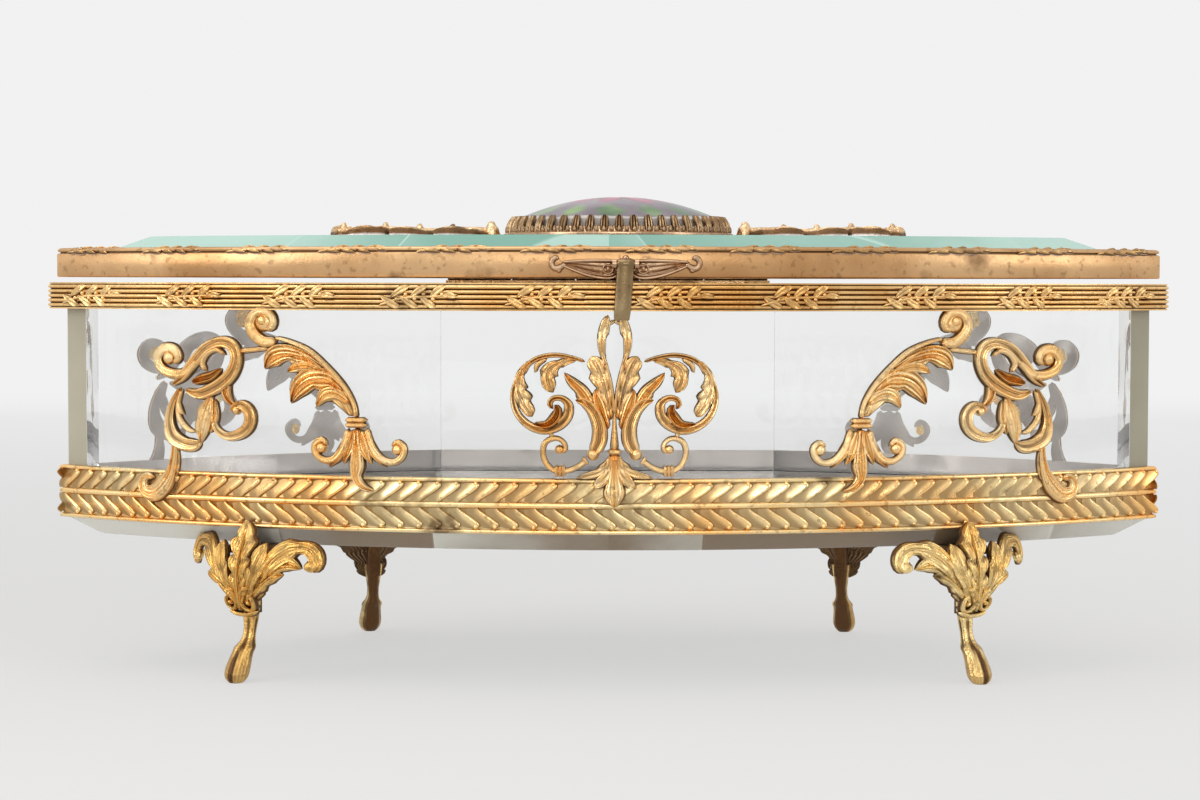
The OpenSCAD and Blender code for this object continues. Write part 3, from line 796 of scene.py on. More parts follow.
def patina_group() -> Tree:
    """Shader group for old gilding: bright where it is rubbed, brown in the hollows and in blotches, and
    with painted light and shade on the backs of castings, a flat colour that each finish sets, pale for lit
    backs and dark for shaded ones.

    Returns:
        The group, with Color, Roughness and Height.
    """
    inputs = {
        "Bright": (1.0, 0.8, 0.45, 1.0),
        "Base": (0.8, 0.5, 0.2, 1.0),
        "Dark": (0.1, 0.05, 0.02, 1.0),
        "BackPaintedLight": (0.7, 0.6, 0.55, 1.0),
        "Hollow": 0.8,
        "Blotch": 0.3,
        "Smooth": 0.22,
        "Rough": 0.4,
        "Grain": 0.3,
    }
    outputs = {"Color": "Color", "Roughness": "Float", "Height": "Float"}
    tree, b, given, out = group_with("gilding_wear", inputs, outputs)
    value = given.outputs
    recess = b.add("ShaderNodeAttribute", attribute_name="recess").outputs["Fac"]
    across = b.add("ShaderNodeAttribute", attribute_name="across").outputs["Fac"]
    cloud, spots, fine = b.noise(38.0, 5.0), b.noise(150.0, 6.0), b.noise(1500.0, 3.0)
    chase = b.math("SINE", b.times(b.plus(across, b.times(spots, 0.12)), 31.0))
    deep = b.plus(recess, b.times(b.minus(spots, 0.5), 0.7))
    deep = b.plus(deep, b.times(b.math("ABSOLUTE", chase), 0.12))
    hollow = b.times(b.ramp(deep, 0.36, 0.92), value["Hollow"])
    low = b.minus(0.72, b.times(value["Blotch"], 0.35))
    mottle = b.plus(b.times(cloud, 0.6), b.times(spots, 0.4))
    stain = b.add("ShaderNodeMapRange", {0: mottle, 1: low, 2: b.plus(low, 0.09)}).outputs[0]
    stain = b.times(stain, b.math("MINIMUM", b.times(value["Blotch"], 2.0), 0.85))
    speck = b.times(b.ramp(b.noise(620.0, 5.0), 0.56, 0.68), b.times(value["Blotch"], 1.1))
    mask = b.math("MAXIMUM", b.math("MAXIMUM", hollow, stain), speck)
    gold = b.mix(b.ramp(cloud, 0.35, 0.65), value["Base"], value["Bright"])
    worn = b.mix(mask, gold, value["Dark"])
    # Painted light: backs of castings (recess past 1.4) take a flat back colour in place of the worn
    # gilding.
    b.feed(out.inputs["Color"], b.mix(b.ramp(recess, 1.4, 1.8), worn, value["BackPaintedLight"]))
    matt = b.ramp(spots, 0.3, 0.7)
    rough = b.add("ShaderNodeMix", {0: matt, 2: value["Smooth"], 3: value["Rough"]}).outputs[0]
    b.feed(out.inputs["Roughness"], b.plus(rough, b.times(mask, 0.15)))
    grain = b.times(b.plus(fine, b.times(spots, 0.6)), value["Grain"])
    b.feed(out.inputs["Height"], b.plus(grain, b.times(chase, 0.22)))
    return tree


def new_material(name: str) -> tuple[Material, NodeBuilder, Node, Node]:
    """An empty node material.

    Args:
        name: Its name.

    Returns:
        The material, its builder, its Principled node and its output node.
    """
    material = bpy.data.materials.new(name)
    material.use_nodes = True
    material.node_tree.nodes.clear()
    build = NodeBuilder(material.node_tree)
    shader, out = build.add("ShaderNodeBsdfPrincipled"), build.add("ShaderNodeOutputMaterial")
    build.feed(out.inputs["Surface"], shader.outputs[0])
    return material, build, shader, out


@dataclass(frozen=True)
class Gilding:
    """A gilt or brass finish, with its wear."""

    name: str
    base: Colour
    bright: Colour
    dark: Colour = (0.13, 0.065, 0.028)
    # back: painted light on the backs of castings, a pale mauve grey that makes the rear mounts' backs look
    # lit through the glass.
    back: Colour = (0.86, 0.77, 0.73)
    hollow: float = 0.85
    blotch: float = 0.25
    smooth: float = 0.2
    rough: float = 0.36
    grain: float = 0.3
    relief: float = 0.15

    def material(self, group: Tree) -> Material:
        """The finish as a material.

        Args:
            group: The gilding wear group.

        Returns:
            The material.
        """
        material, b, shader, _ = new_material(self.name)
        wear = b.add("ShaderNodeGroup", node_tree=group)
        b.fill(wear, {"Bright": (*self.bright, 1.0), "Base": (*self.base, 1.0)})
        b.fill(wear, {"Dark": (*self.dark, 1.0), "BackPaintedLight": (*self.back, 1.0)})
        b.fill(wear, {"Hollow": self.hollow, "Blotch": self.blotch, "Grain": self.grain})
        b.fill(wear, {"Smooth": self.smooth, "Rough": self.rough})
        height = wear.outputs["Height"]
        bump = b.add("ShaderNodeBump", {"Height": height, "Strength": self.relief, "Distance": MM})
        worn = {"Base Color": wear.outputs["Color"], "Roughness": wear.outputs["Roughness"]}
        b.fill(shader, {**worn, "Normal": bump.outputs[0], "Metallic": 1.0})
        return material


@dataclass(frozen=True)
class PlateGlass:
    """A thick glass, with the tint that a long way through it shows."""

    name: str
    tint: Colour
    density: float
    smudge: float = 0.012

    def material(self) -> Material:
        """Mixes the glass.

        Returns:
            Its material.
        """
        material, b, shader, out = new_material(self.name)
        haze = b.times(b.ramp(b.noise(30.0, 5.0), 0.5, 0.75), self.smudge)
        clear = b.mix(b.noise(18.0, 3.0), (0.985, 0.995, 0.99, 1), (1, 1, 1, 1))
        b.fill(shader, {"Base Color": clear, "Roughness": haze})
        b.fill(shader, {"Transmission Weight": 1.0, "IOR": GLASS_IOR})
        b.absorb(out, self.tint, self.density)
        return material


@dataclass(frozen=True)
class PaintedReflectionGlass:
    """A ground or bevelled face of a glass plate, with painted reflections: broad light and dark facet bands
    with bright lines at their edges, over the plate's own tint.
    """

    name: str
    # pale and deep: the light and dark of the painted facet reflections; ends: painted light towards the
    # ends of the plate.
    pale: Colour
    deep: Colour
    tint: Colour
    density: float
    clear: float = 0.3
    rough: float = 0.12
    facets: float = 24.0
    lean: float = 0.0
    ends: float = 0.0

    def material(self) -> Material:
        """Mixes the painted facet reflections and the plate's tint.

        Returns:
            Its material.
        """
        material, b, shader, out = new_material(self.name)
        axes = b.axes()
        along = b.plus(b.math("ABSOLUTE", axes["X"]), b.times(axes["Z"], self.lean))
        wander = b.times(b.math("SINE", b.times(axes["X"], 61.0)), 0.3)
        place = b.plus(b.times(along, self.facets), wander)
        place = b.plus(place, b.times(b.math("SIGN", axes["X"]), 37.4))
        cell = b.math("FLOOR", place)
        facet = b.add("ShaderNodeTexWhiteNoise", {"W": cell}, noise_dimensions="1D").outputs["Value"]
        # Painted glint: a bright line at the edge of each facet band.
        line = b.ramp(b.math("FRACT", place), 0.035, 0.0)
        slope = b.times(b.minus(b.math("FRACT", place), 0.5), 0.3)
        shade = b.plus(b.times(facet, 0.75), b.times(b.noise(60.0, 4.0), 0.35))
        shade = b.plus(b.plus(shade, slope), b.times(line, 0.5))
        # Painted reflection that is lighter towards the ends of the plate and darker in its middle.
        painted_end_light = b.minus(b.math("ABSOLUTE", axes["X"]), 0.075)
        shade = b.plus(shade, b.times(painted_end_light, self.ends))
        shown = b.mix(b.ramp(shade, 0.15, 0.85), (*self.deep, 1.0), (*self.pale, 1.0))
        rough = b.plus(self.rough, b.times(b.noise(300.0, 3.0), 0.08))
        b.fill(shader, {"Base Color": shown, "Roughness": rough})
        b.fill(shader, {"Transmission Weight": self.clear, "IOR": GLASS_IOR})
        b.absorb(out, self.tint, self.density)
        return material


@dataclass(frozen=True)
class Enamel:
    """Glossy painted enamel: a rosette of petals in a ring of leaves on a clouded ground."""

    name: str
    centre: Pair
    radius: float
    petals: int = 9
    leaves: int = 14

    def material(self) -> Material:
        """Paints the enamel.

        Returns:
            Its material.
        """
        material, b, shader, _ = new_material(self.name)
        at = b.add("ShaderNodeTexCoord").outputs["Object"]
        place = tuple(-c / self.radius for c in self.centre)
        size = (1 / self.radius,) * 3
        at = b.add("ShaderNodeMapping", {"Vector": at, "Location": (*place, 0), "Scale": size}).outputs[0]
        axes = b.add("ShaderNodeSeparateXYZ", {0: at}).outputs
        drift = b.times(b.minus(b.noise(55.0, 4.0), 0.5), 0.5)
        turn = b.plus(b.math("ARCTAN2", axes["Y"], axes["X"]), drift)
        reach = b.math("SQRT", b.plus(b.math("POWER", axes["X"], 2.0), b.math("POWER", axes["Y"], 2.0)))
        reach = b.plus(reach, b.times(drift, 0.4))
        cloud = b.noise(38.0, 5.0)
        ground = b.mix(b.ramp(cloud, 0.35, 0.7), (0.10, 0.075, 0.09, 1), (0.34, 0.29, 0.32, 1))
        leaf = b.math("SINE", b.times(turn, float(self.leaves)))
        ring = b.minus(b.times(leaf, 0.1), b.math("ABSOLUTE", b.minus(reach, 0.8)))
        leaves = b.mix(b.ramp(cloud, 0.4, 0.6), (0.06, 0.13, 0.05, 1), (0.26, 0.38, 0.15, 1))
        shown = b.mix(b.ramp(ring, -0.14, 0.05), ground, leaves)
        petal = b.math("ABSOLUTE", b.math("SINE", b.times(turn, self.petals / 2)))
        flower = b.minus(b.plus(0.36, b.times(petal, 0.22)), reach)
        bloom = b.mix(b.ramp(petal, 0.2, 1.0), (0.12, 0.008, 0.03, 1), (0.36, 0.07, 0.15, 1))
        shown = b.mix(b.ramp(flower, -0.03, 0.08), shown, bloom)
        heart = b.minus(b.plus(0.17, b.times(petal, 0.06)), reach)
        shown = b.mix(b.ramp(heart, 0.0, 0.06), shown, (0.7, 0.6, 0.42, 1))
        shown = b.mix(b.ramp(reach, 0.93, 0.97), shown, (0.50, 0.46, 0.43, 1))
        b.fill(shader, {"Base Color": shown, "Roughness": b.plus(0.16, b.times(cloud, 0.12))})
        b.fill(shader, {"Specular IOR Level": 0.12, "Coat Weight": 0.12, "Coat Roughness": 0.05})
        return material


@dataclass
class Finishes:
    """Every finish of the casket."""

    band: Material
    moulding: Material
    rail: Material
    lip: Material
    mount: Material
    spray: Material
    foot: Material
    brass: Material
    plaque: Material
    tongue: Material
    wall_glass: Material
    cut_edge: Material
    base_glass: Material
    base_bevel: Material
    lid_glass: Material
    lid_bevel: Material

    @classmethod
    def mixed(cls) -> "Finishes":
        """Makes every finish once.

        Returns:
            The set of them.
        """
        wear = patina_group()

        def gilt(name: str, base: Colour, bright: Colour, **more: object) -> Material:
            """A gilt material with the given wear."""
            return Gilding(name, base, bright, **more).material(wear)

        walls, base, lid = (0.66, 0.80, 0.76), (0.56, 0.72, 0.62), (0.26, 0.84, 0.71)
        # Bevels and cut edges get painted reflections in light and dark facets; the cut edges' grey is
        # partly their own ground face.
        base_bevel_reflections = ((0.88, 0.87, 0.77), (0.27, 0.185, 0.10))
        edges = ((0.54, 0.50, 0.38), (0.33, 0.30, 0.21))
        lid_bevel_reflections = ((0.42, 0.62, 0.54), (0.17, 0.38, 0.30))
        return cls(
            band=gilt("gilt_band", (1.0, 0.56, 0.19), (1.0, 0.79, 0.42), hollow=0.62, blotch=0.42),
            moulding=gilt("gilt_moulding", (0.68, 0.37, 0.12), (0.93, 0.63, 0.29), hollow=0.9, blotch=0.28),
            rail=gilt(
                "satin_rail", (0.51, 0.28, 0.12), (0.71, 0.45, 0.23), blotch=0.34, smooth=0.32, rough=0.44,
            ),
            lip=gilt("worn_lip", (0.44, 0.25, 0.10), (0.70, 0.45, 0.20), hollow=0.9, blotch=0.4),
            mount=gilt(
                "cast_mount", (0.86, 0.52, 0.20), (1.0, 0.76, 0.42),
                hollow=0.95, blotch=0.35, grain=0.6, relief=0.35,
            ),
            spray=gilt(
                "cast_spray", (0.58, 0.35, 0.17), (0.88, 0.62, 0.36),
                hollow=0.95, blotch=0.45, grain=0.6, relief=0.35,
            ),
            # The feet's backs are dark brown: partly the ungilt back of the casting, partly painted shade on
            # the rear feet seen from behind.
            foot=gilt(
                "cast_foot", (0.78, 0.47, 0.14), (1.0, 0.78, 0.38), back=(0.24, 0.15, 0.08),
                hollow=1.0, blotch=0.45, grain=0.8, relief=0.4,
            ),
            brass=gilt(
                "aged_brass", (0.24, 0.15, 0.08), (0.46, 0.32, 0.18), hollow=0.8, blotch=0.4, smooth=0.26,
            ),
            plaque=gilt(
                "rubbed_brass", (0.42, 0.26, 0.15), (0.72, 0.51, 0.34), hollow=0.9, blotch=0.3, smooth=0.24,
            ),
            tongue=gilt(
                "worn_tongue", (0.19, 0.12, 0.055), (0.42, 0.31, 0.17), blotch=0.35, smooth=0.22, grain=0.6,
            ),
            wall_glass=PlateGlass("wall_glass", walls, 2.0).material(),
            cut_edge=PaintedReflectionGlass("cut_edge", *edges, walls, 2.0, 0.25, 0.3).material(),
            base_glass=PlateGlass("base_glass", base, 3.0).material(),
            base_bevel=PaintedReflectionGlass("base_bevel", *base_bevel_reflections, base, 3.0, 0.25, facets=14.0, ends=8.0).material(),
            lid_glass=PlateGlass("lid_glass", lid, 4.0).material(),
            lid_bevel=PaintedReflectionGlass("lid_bevel", *lid_bevel_reflections, lid, 4.0, 0.12, lean=1.3).material(),
        )


def along_path_tree() -> Tree:
    """Geometry tree that sets copies of a stamp along paths.

    Returns:
        The tree, with the inputs Stamp, Pitch, Tilt and Finish.
    """
    tree = bpy.data.node_groups.new("stamps_along_path", "GeometryNodeTree")
    kinds = {"Stamp": "Object", "Pitch": "Float", "Tilt": "Float", "Finish": "Material"}
    for name, kind in {"Geometry": "Geometry", **kinds}.items():
        tree.interface.new_socket(name, in_out="INPUT", socket_type="NodeSocket" + kind)
    tree.interface.new_socket("Geometry", in_out="OUTPUT", socket_type="NodeSocketGeometry")
    b = NodeBuilder(tree)
    given, out = b.add("NodeGroupInput").outputs, b.add("NodeGroupOutput")
    curve = b.add("GeometryNodeMeshToCurve", {"Mesh": given["Geometry"]}).outputs[0]
    spaced = b.add("GeometryNodeResampleCurve", {"Curve": curve, "Length": given["Pitch"]}, mode="LENGTH")
    tangent = b.add("GeometryNodeInputTangent").outputs[0]
    upright = b.add("FunctionNodeAxesToRotation", primary_axis="Z", secondary_axis="X")
    b.feed(upright.inputs[0], (0, 0, 1))
    b.feed(upright.inputs[1], tangent)
    tilt = b.add("FunctionNodeAxisAngleToRotation", {"Axis": (1, 0, 0), "Angle": given["Tilt"]}).outputs[0]
    turned = b.add("FunctionNodeRotateRotation", {0: upright.outputs[0], 1: tilt}, rotation_space="LOCAL")
    stamp = b.add("GeometryNodeObjectInfo", {"Object": given["Stamp"]}).outputs["Geometry"]
    copies = b.add(
        "GeometryNodeInstanceOnPoints",
        {"Points": spaced.outputs[0], "Instance": stamp, "Rotation": turned.outputs[0]},
    ).outputs[0]
    solid = b.add("GeometryNodeRealizeInstances", {0: copies}).outputs[0]
    dressed = b.add("GeometryNodeSetMaterial", {"Geometry": solid, "Material": given["Finish"]}).outputs[0]
    b.feed(out.inputs[0], dressed)
    return tree


@dataclass
class Stamper:
    """Sets copies of a stamp along paths, and makes them one plain mesh."""

    tree: Tree = field(default_factory=along_path_tree)

    def along(
        self,
        name: str,
        stamp: Sequence[Shell],
        paths: Sequence[Array],
        pitch: float,
        finish: Material,
        tilt: float = 0.0,
        ring: bool = False,
    ) -> Object:
        """Makes a row of copies.

        Args:
            name: Name of the piece.
            stamp: The shells to repeat, with X along the path, Z up and -Y outwards.
            paths: The lines to follow, in millimetres.
            pitch: Distance between copies.
            finish: Their material.
            tilt: How far the copies lean outwards, in degrees.
            ring: True if each path closes on itself.

        Returns:
            The mesh object, at the origin.
        """
        pattern = Casting(name + "_stamp", Body.CASKET, "", []).add(stamp).mesh_object()
        starts = np.cumsum([0] + [len(p) for p in paths])
        edges = [(a + i, a + i + 1) for p, a in zip(paths, starts) for i in range(len(p) - 1)]
        if ring:
            edges += [(a + len(p) - 1, a) for p, a in zip(paths, starts)]
        line = bpy.data.meshes.new(name + "_line")
        line.from_pydata(np.concatenate(paths) * MM, [(int(i), int(j)) for i, j in edges], [])
        row = linked(name, line)
        modifier = row.modifiers.new("stamps", "NODES")
        modifier.node_group = self.tree
        keys = {s.name: s.identifier for s in self.tree.interface.items_tree if s.in_out == "INPUT"}
        values = {"Stamp": pattern, "Pitch": pitch * MM, "Tilt": math.radians(tilt), "Finish": finish}
        for key, value in values.items():
            modifier[keys[key]] = value
        depsgraph = bpy.context.evaluated_depsgraph_get()
        mesh = bpy.data.meshes.new_from_object(row.evaluated_get(depsgraph), depsgraph=depsgraph)
        row.modifiers.clear()
        row.data = mesh
        bpy.data.objects.remove(pattern)
        tidy_mesh(row, CREASE)
        return row


def upright(shell: Shell) -> Shell:
    """A drawn shell stood up as a stamp, with its relief towards -Y."""
    x, y, h = shell.points.T
    return replace(shell, points=np.stack([x, -h, y], 1))


@dataclass
class Assembly:
    """A part of the casket, with the plan, the finishes and the stamper that every part is made with."""

    plan: Plan
    finishes: Finishes
    stamper: Stamper


@dataclass
class LowerBand(Assembly):
    """Stamped strip round the base: two rows of twisted gadroons on either side of a fillet."""

    low: float
    high: float
    face: float = 0.9
    inner: float = 0.1
    pitch: float = 4.5
    margin: float = 1.1
    fillet: float = 0.7
    lift: float = 0.15
    roll: float = 0.5
    rise: float = 0.85
    sunk: float = 0.15
    bead: float = 0.55

    @property
    def middle(self) -> float:
        """Height of the fillet."""
        return (self.low + self.high) / 2 + self.lift

    def profile(self) -> list[Point]:
        """Outline of the strip with its two rolled margins and its fillet.

        Returns:
            Distance out, height and recess of each point.
        """
        rows = [(self.inner, self.low, BACK_FACE), (self.face, self.low, 0.3)]
        turn = np.linspace(0.3, math.pi - 0.3, 7)
        edge = self.roll + 0.05
        rolls = ((self.low + edge, self.roll), (self.middle, self.fillet), (self.high - edge, self.roll))
        for z, r in rolls:
            rows += [(self.face, z - r - 0.25, 0.9)]
            rows += [(self.face + 0.7 * math.sin(a), z - r * math.cos(a), 0.9 - math.sin(a)) for a in turn]
            rows += [(self.face, z + r + 0.25, 0.9)]
        return rows[:2] + rows[3:-1] + [(self.face, self.high, 0.3), (self.inner, self.high, BACK_FACE)]

    def gadroon(self, height: float) -> list[Shell]:
        """One lobe, which leans along the row and overlaps the next, with a bead at its head.

        Args:
            height: Height of the row.

        Returns:
            The lobe and its bead, standing on the fillet.
        """
        v = np.array([0.0, 0.14, 0.3, 0.46, 0.62, 0.76, 0.87, 0.95])[:, None]
        u = np.array([-1.0, -0.6, -0.2, 0.2, 0.5, 0.7, 0.86, 1.0])[None, :]
        lean = self.pitch * (0.2 * v + 0.8 * (3 * v**2 - 2 * v**3))
        head = np.sqrt(np.clip(1 - (np.clip(v - 0.66, 0, 1) / 0.3) ** 2, 0.04, 1))
        half = self.pitch * (0.3 + 0.3 * np.minimum(1, v / 0.4)) * (0.3 + 0.7 * head)
        slope = 0.15 + 0.85 * np.clip((u + 1) / 1.6, 0, 1) ** 2.0
        nose = np.sqrt(np.clip(1 - ((u - 0.6) / 0.4) ** 2, 0.02, 1))
        wedge = np.where(u < 0.6, slope, nose)
        crest = wedge * (0.45 + 0.55 * np.minimum(1, v / 0.4)) * (0.4 + 0.6 * head)
        x, y = lean + half * u - 0.5 * self.pitch, v * height + 0 * u
        top = np.stack([x, y, self.rise * crest], -1)
        foot = top[:, [-1, 0]].copy()
        foot[..., 2] = -self.sunk
        depth = np.concatenate([np.clip(1.05 - crest, 0, 1), np.ones((len(v), 2))], 1)
        bead = Relief()
        bead.bud((0.68 * self.pitch, 0.9 * height), self.bead, self.rise + 0.1, fine=4)
        return [upright(loft(np.concatenate([top, foot], 1), depth))] + [upright(s) for s in bead.shells]

    def build(self) -> None:
        """Makes the four strips and their gadroons."""
        finish = self.finishes.band
        self.plan.strips(self.profile(), "lower_strip", "lower_band", Body.CASKET, "gilt_bands", [finish])
        height = self.high - self.margin - self.middle - self.fillet + 0.2
        for name, sign in (("gadroons_upper", 1), ("gadroons_lower", -1)):
            unit = [replace(s, points=s.points * (1, 1, sign)) for s in self.gadroon(height)]
            paths = self.plan.paths(self.middle + sign * self.fillet, self.face, self.pitch)
            row = self.stamper.along(name, unit, paths, self.pitch, finish)
            settle(row, Body.CASKET, "gilt_bands")


@dataclass
class Sprig:
    """A laurel sprig with berries, as it is stamped on the mouldings."""

    length: float = 19.0
    height: float = 5.6
    leaves: int = 6

    def stamp(self) -> list[Shell]:
        """The sprig lying along X, with its leaves on both sides of the stem.

        Returns:
            Its shells.
        """
        r = Relief(step=0.8)
        half, tall = self.length / 2, self.height / 2
        stem = [
            (-half, -0.7 * tall, 0.3), (-half / 3, -0.1 * tall, 0.45),
            (half / 3, 0, 0.4), (half, 0.2 * tall, 0.2),
        ]
        r.strap(stem, ROUND, 0.8, across=5)
        for i in range(self.leaves):
            x = -0.95 * half + i * 1.5 * half / self.leaves
            side = 1 if i % 2 else -1
            wide, reach = 0.3 * tall, 5.2 - 0.25 * i
            leaf = [(0.0, -0.1, 0.15), (0.35, 0.38, 1.0), (0.7, 0.72, 0.9), (1.0, 0.92, 0.1)]
            r.strap([(x + k * reach, side * y * tall, w * wide) for k, y, w in leaf], LEAF, 1.05, across=7)
            r.bud((x + 0.75 * reach, side * tall * 0.2), 0.16 * tall + 0.15, 0.95, fine=4)
        tip = [(0.62 * half, 0.1, 0.15), (0.75 * half, 0.4, 0.7), (0.9 * half, 0.2, 0.6), (half, -0.2, 0.1)]
        r.strap(tip, LEAF, 1.0, across=7)
        return [upright(s) for s in r.shells]


@dataclass
class UpperBand(Assembly):
    """Moulding on the top edge of the walls: five reeds tied with laurel sprigs."""

    low: float
    high: float
    face: float = 2.75
    inner: float = 0.1
    margin: float = 0.4
    reed: float = 0.6
    reeds: int = 5
    wall_t: float = 6.5
    flange: float = 1.0
    skirt: float = 3.5
    skirt_t: float = 0.9
    pitch: float = 29.0

    def profile(self) -> list[Point]:
        """Outline of the moulding with its flange and its inner skirt.

        Returns:
            Distance out, height and recess of each point.
        """
        top = self.high - self.flange
        rim = self.face + self.reed / 2
        step = (self.high - self.low - 2 * self.margin) / self.reeds
        rows = [(self.inner, self.low, 0.5), (rim, self.low, 0.3), (rim, self.low + 0.35, 0.3)]
        turn = np.linspace(0, math.pi, 7)[:-1]
        for i in range(self.reeds):
            z = self.low + self.margin + i * step
            for a in turn:
                out = self.reed * math.sin(a)
                rows.append((self.face + out, z + step * a / math.pi, 1 - math.sin(a)))
        rows += [(self.face, self.high - self.margin, 1.0), (rim, self.high - 0.35, 0.3)]
        rows.append((rim, self.high, 0.2))
        far = -self.wall_t - self.inner
        return rows + [
            (far - self.skirt_t, self.high, 0.2),
            (far - self.skirt_t, top - self.skirt, 0.5),
            (far, top - self.skirt, 0.5),
            (far, top, 0.8),
            (self.inner, top, 0.8),
        ]

    def build(self) -> None:
        """Makes the four mouldings and their sprigs."""
        finish = self.finishes.moulding
        self.plan.strips(self.profile(), "moulding", "upper_band", Body.CASKET, "gilt_bands", [finish])
        paths = self.plan.paths((self.low + self.high) / 2, self.face + 0.1, self.pitch)
        row = self.stamper.along("moulding_sprigs", Sprig().stamp(), paths, self.pitch, finish)
        settle(row, Body.CASKET, "gilt_bands")


@dataclass
class LidFrame(Assembly):
    """Frame round the lid glass: a plain satin band, a ledge and a leafy lip."""

    low: float
    high: float
    out: float = 1.7
    thick: float = 1.0
    ledge: float = 7.0
    lip: float = 10.0
    lip_t: float = 1.2
    pitch: float = 24.0
    sprig_tilt: float = -52.0

    def profile(self) -> list[Point]:
        """Outline of the frame.

        Returns:
            Distance out, height and recess of each point.
        """
        shoulder = self.high - self.lip_t
        out, wall = self.out, self.out - self.thick
        return [
            (out - 0.2, self.low, 0.2),
            (out, self.low + 0.2, 0.0),
            (out, shoulder - 0.45, 0.0),
            (out - 0.15, shoulder - 0.2, 0.1),
            (out - 0.6, shoulder - 0.1, 1.0),
            (out - 0.6, shoulder + 0.1, 1.0),
            (out - 0.15, shoulder + 0.3, 0.3),
            (out - 0.1, shoulder + 0.7, 0.2),
            (out - 0.5, self.high - 0.1, 0.3),
            (out - 1.1, self.high, 0.5),
            (out - self.lip + 0.3, self.high, 0.4),
            (out - self.lip, self.high - 0.3, 0.4),
            (out - self.lip, shoulder, 0.6),
            (wall, shoulder, 0.6),
            (wall, self.low + self.thick, 0.6),
            (wall - self.ledge, self.low + self.thick, 0.6),
            (wall - self.ledge, self.low, 0.4),
        ]

    def build(self) -> None:
        """Makes the four rails and the sprigs on their lip."""
        rail, lip = self.finishes.rail, self.finishes.lip
        self.plan.strips(self.profile(), "lid_frame", "lid_rail", Body.LID, "plain_rail", [rail])
        paths = self.plan.paths(self.high - 0.95, self.out - 0.75, self.pitch)
        sprig = Sprig(length=17.0, height=2.4).stamp()
        row = self.stamper.along("lip_sprigs", sprig, paths, self.pitch, lip, tilt=self.sprig_tilt)
        settle(row, Body.LID, "plain_rail")


@dataclass
class Glazing(Assembly):
    """The six glass plates with their ground edges and bevels."""

    chamfer: float = 0.35
    bevel_w: float = 5.5
    bevel_h: float = 4.3
    lid_rim: float = -8.4
    lid_edge: float = 0.6
    lid_step: float = 5.0
    lid_bevel_w: float = 5.6
    lid_bevel_h: float = 3.0
    cut_before: float = -4.0
    cut_facing: float = -0.72
    plate_crease: float = 20.0
    slab_crease: float = 12.0

    def slab(self, levels: Sequence[Pair], slots: Sequence[int]) -> Shell:
        """A horizontal plate with the plan of the casket.

        Args:
            levels: Height and growth of the plan at each level, from below.
            slots: Material slot between the levels, and of the two faces.

        Returns:
            The closed shell.
        """
        walls = self.plan.walls()
        rings = []
        for z, out in levels:
            ring = []
            for name, wall in walls.items():
                ends = wall.limit(wall.start, out), wall.limit(wall.end, out)
                if name == "left":
                    ends = ends[::-1]
                ring.append(wall.place(np.linspace(*ends, STATIONS[name])[:-1], z, out))
            rings.append(np.concatenate(ring))
        return loft(np.stack(rings), slots=slots)

    def walls(self) -> None:
        """Dresses the front and the back, and copies the side plates with their cut ends ground."""
        for name in ("front", "back"):
            dress(f"{name}_glass", self.finishes.wall_glass)
        for name in ("left", "right"):
            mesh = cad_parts[f"{name}_glass"].data.copy()
            mesh.materials.clear()
            for finish in (self.finishes.wall_glass, self.finishes.cut_edge):
                mesh.materials.append(finish)
            obj = linked(f"{name}_wall_plate", mesh)
            tidy_mesh(obj, self.plate_crease)
            for face in mesh.polygons:
                in_front = face.center.y < self.cut_before * MM
                face.material_index = int(face.normal.y < self.cut_facing and in_front)
            settle(obj, Body.CASKET, "wall_glass", f"{name}_glass")

    def build(self) -> None:
        """Makes all the plates."""
        self.walls()
        c, w = self.chamfer, self.bevel_w
        low, high = heights("base_glass")
        levels = [(low, -w - c), (low + c, -w + c), (low + self.bevel_h, 0), (high - c, 0), (high, -c)]
        base = self.slab(levels, [1, 1, 0, 0, 0, 0])
        finishes = [self.finishes.base_glass, self.finishes.base_bevel]
        piece = Casting("base_plate", Body.CASKET, "base_glass", finishes)
        piece.add([base]).piece("base_glass", crease=self.slab_crease)
        low, high = heights("lid_glass")
        edge, rim, step = self.lid_edge, self.lid_rim, low + self.lid_step
        levels = [(low, edge - c), (low + c, edge), (step, edge), (step, rim)]
        levels += [(high - self.lid_bevel_h, rim), (high, rim - self.lid_bevel_w)]
        lid = self.slab(levels, [0, 0, 0, 1, 1, 0, 0])
        finishes = [self.finishes.lid_glass, self.finishes.lid_bevel]
        piece = Casting("lid_plate", Body.LID, "lid_glass", finishes)
        piece.add([lid]).piece("lid_glass", crease=self.slab_crease)


def dress(node: str, finish: Material) -> None:
    """Gives a CAD node its finish.

    Args:
        node: Name of the node.
        finish: Its material.
    """
    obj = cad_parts[node]
    obj.data.materials.clear()
    obj.data.materials.append(finish)


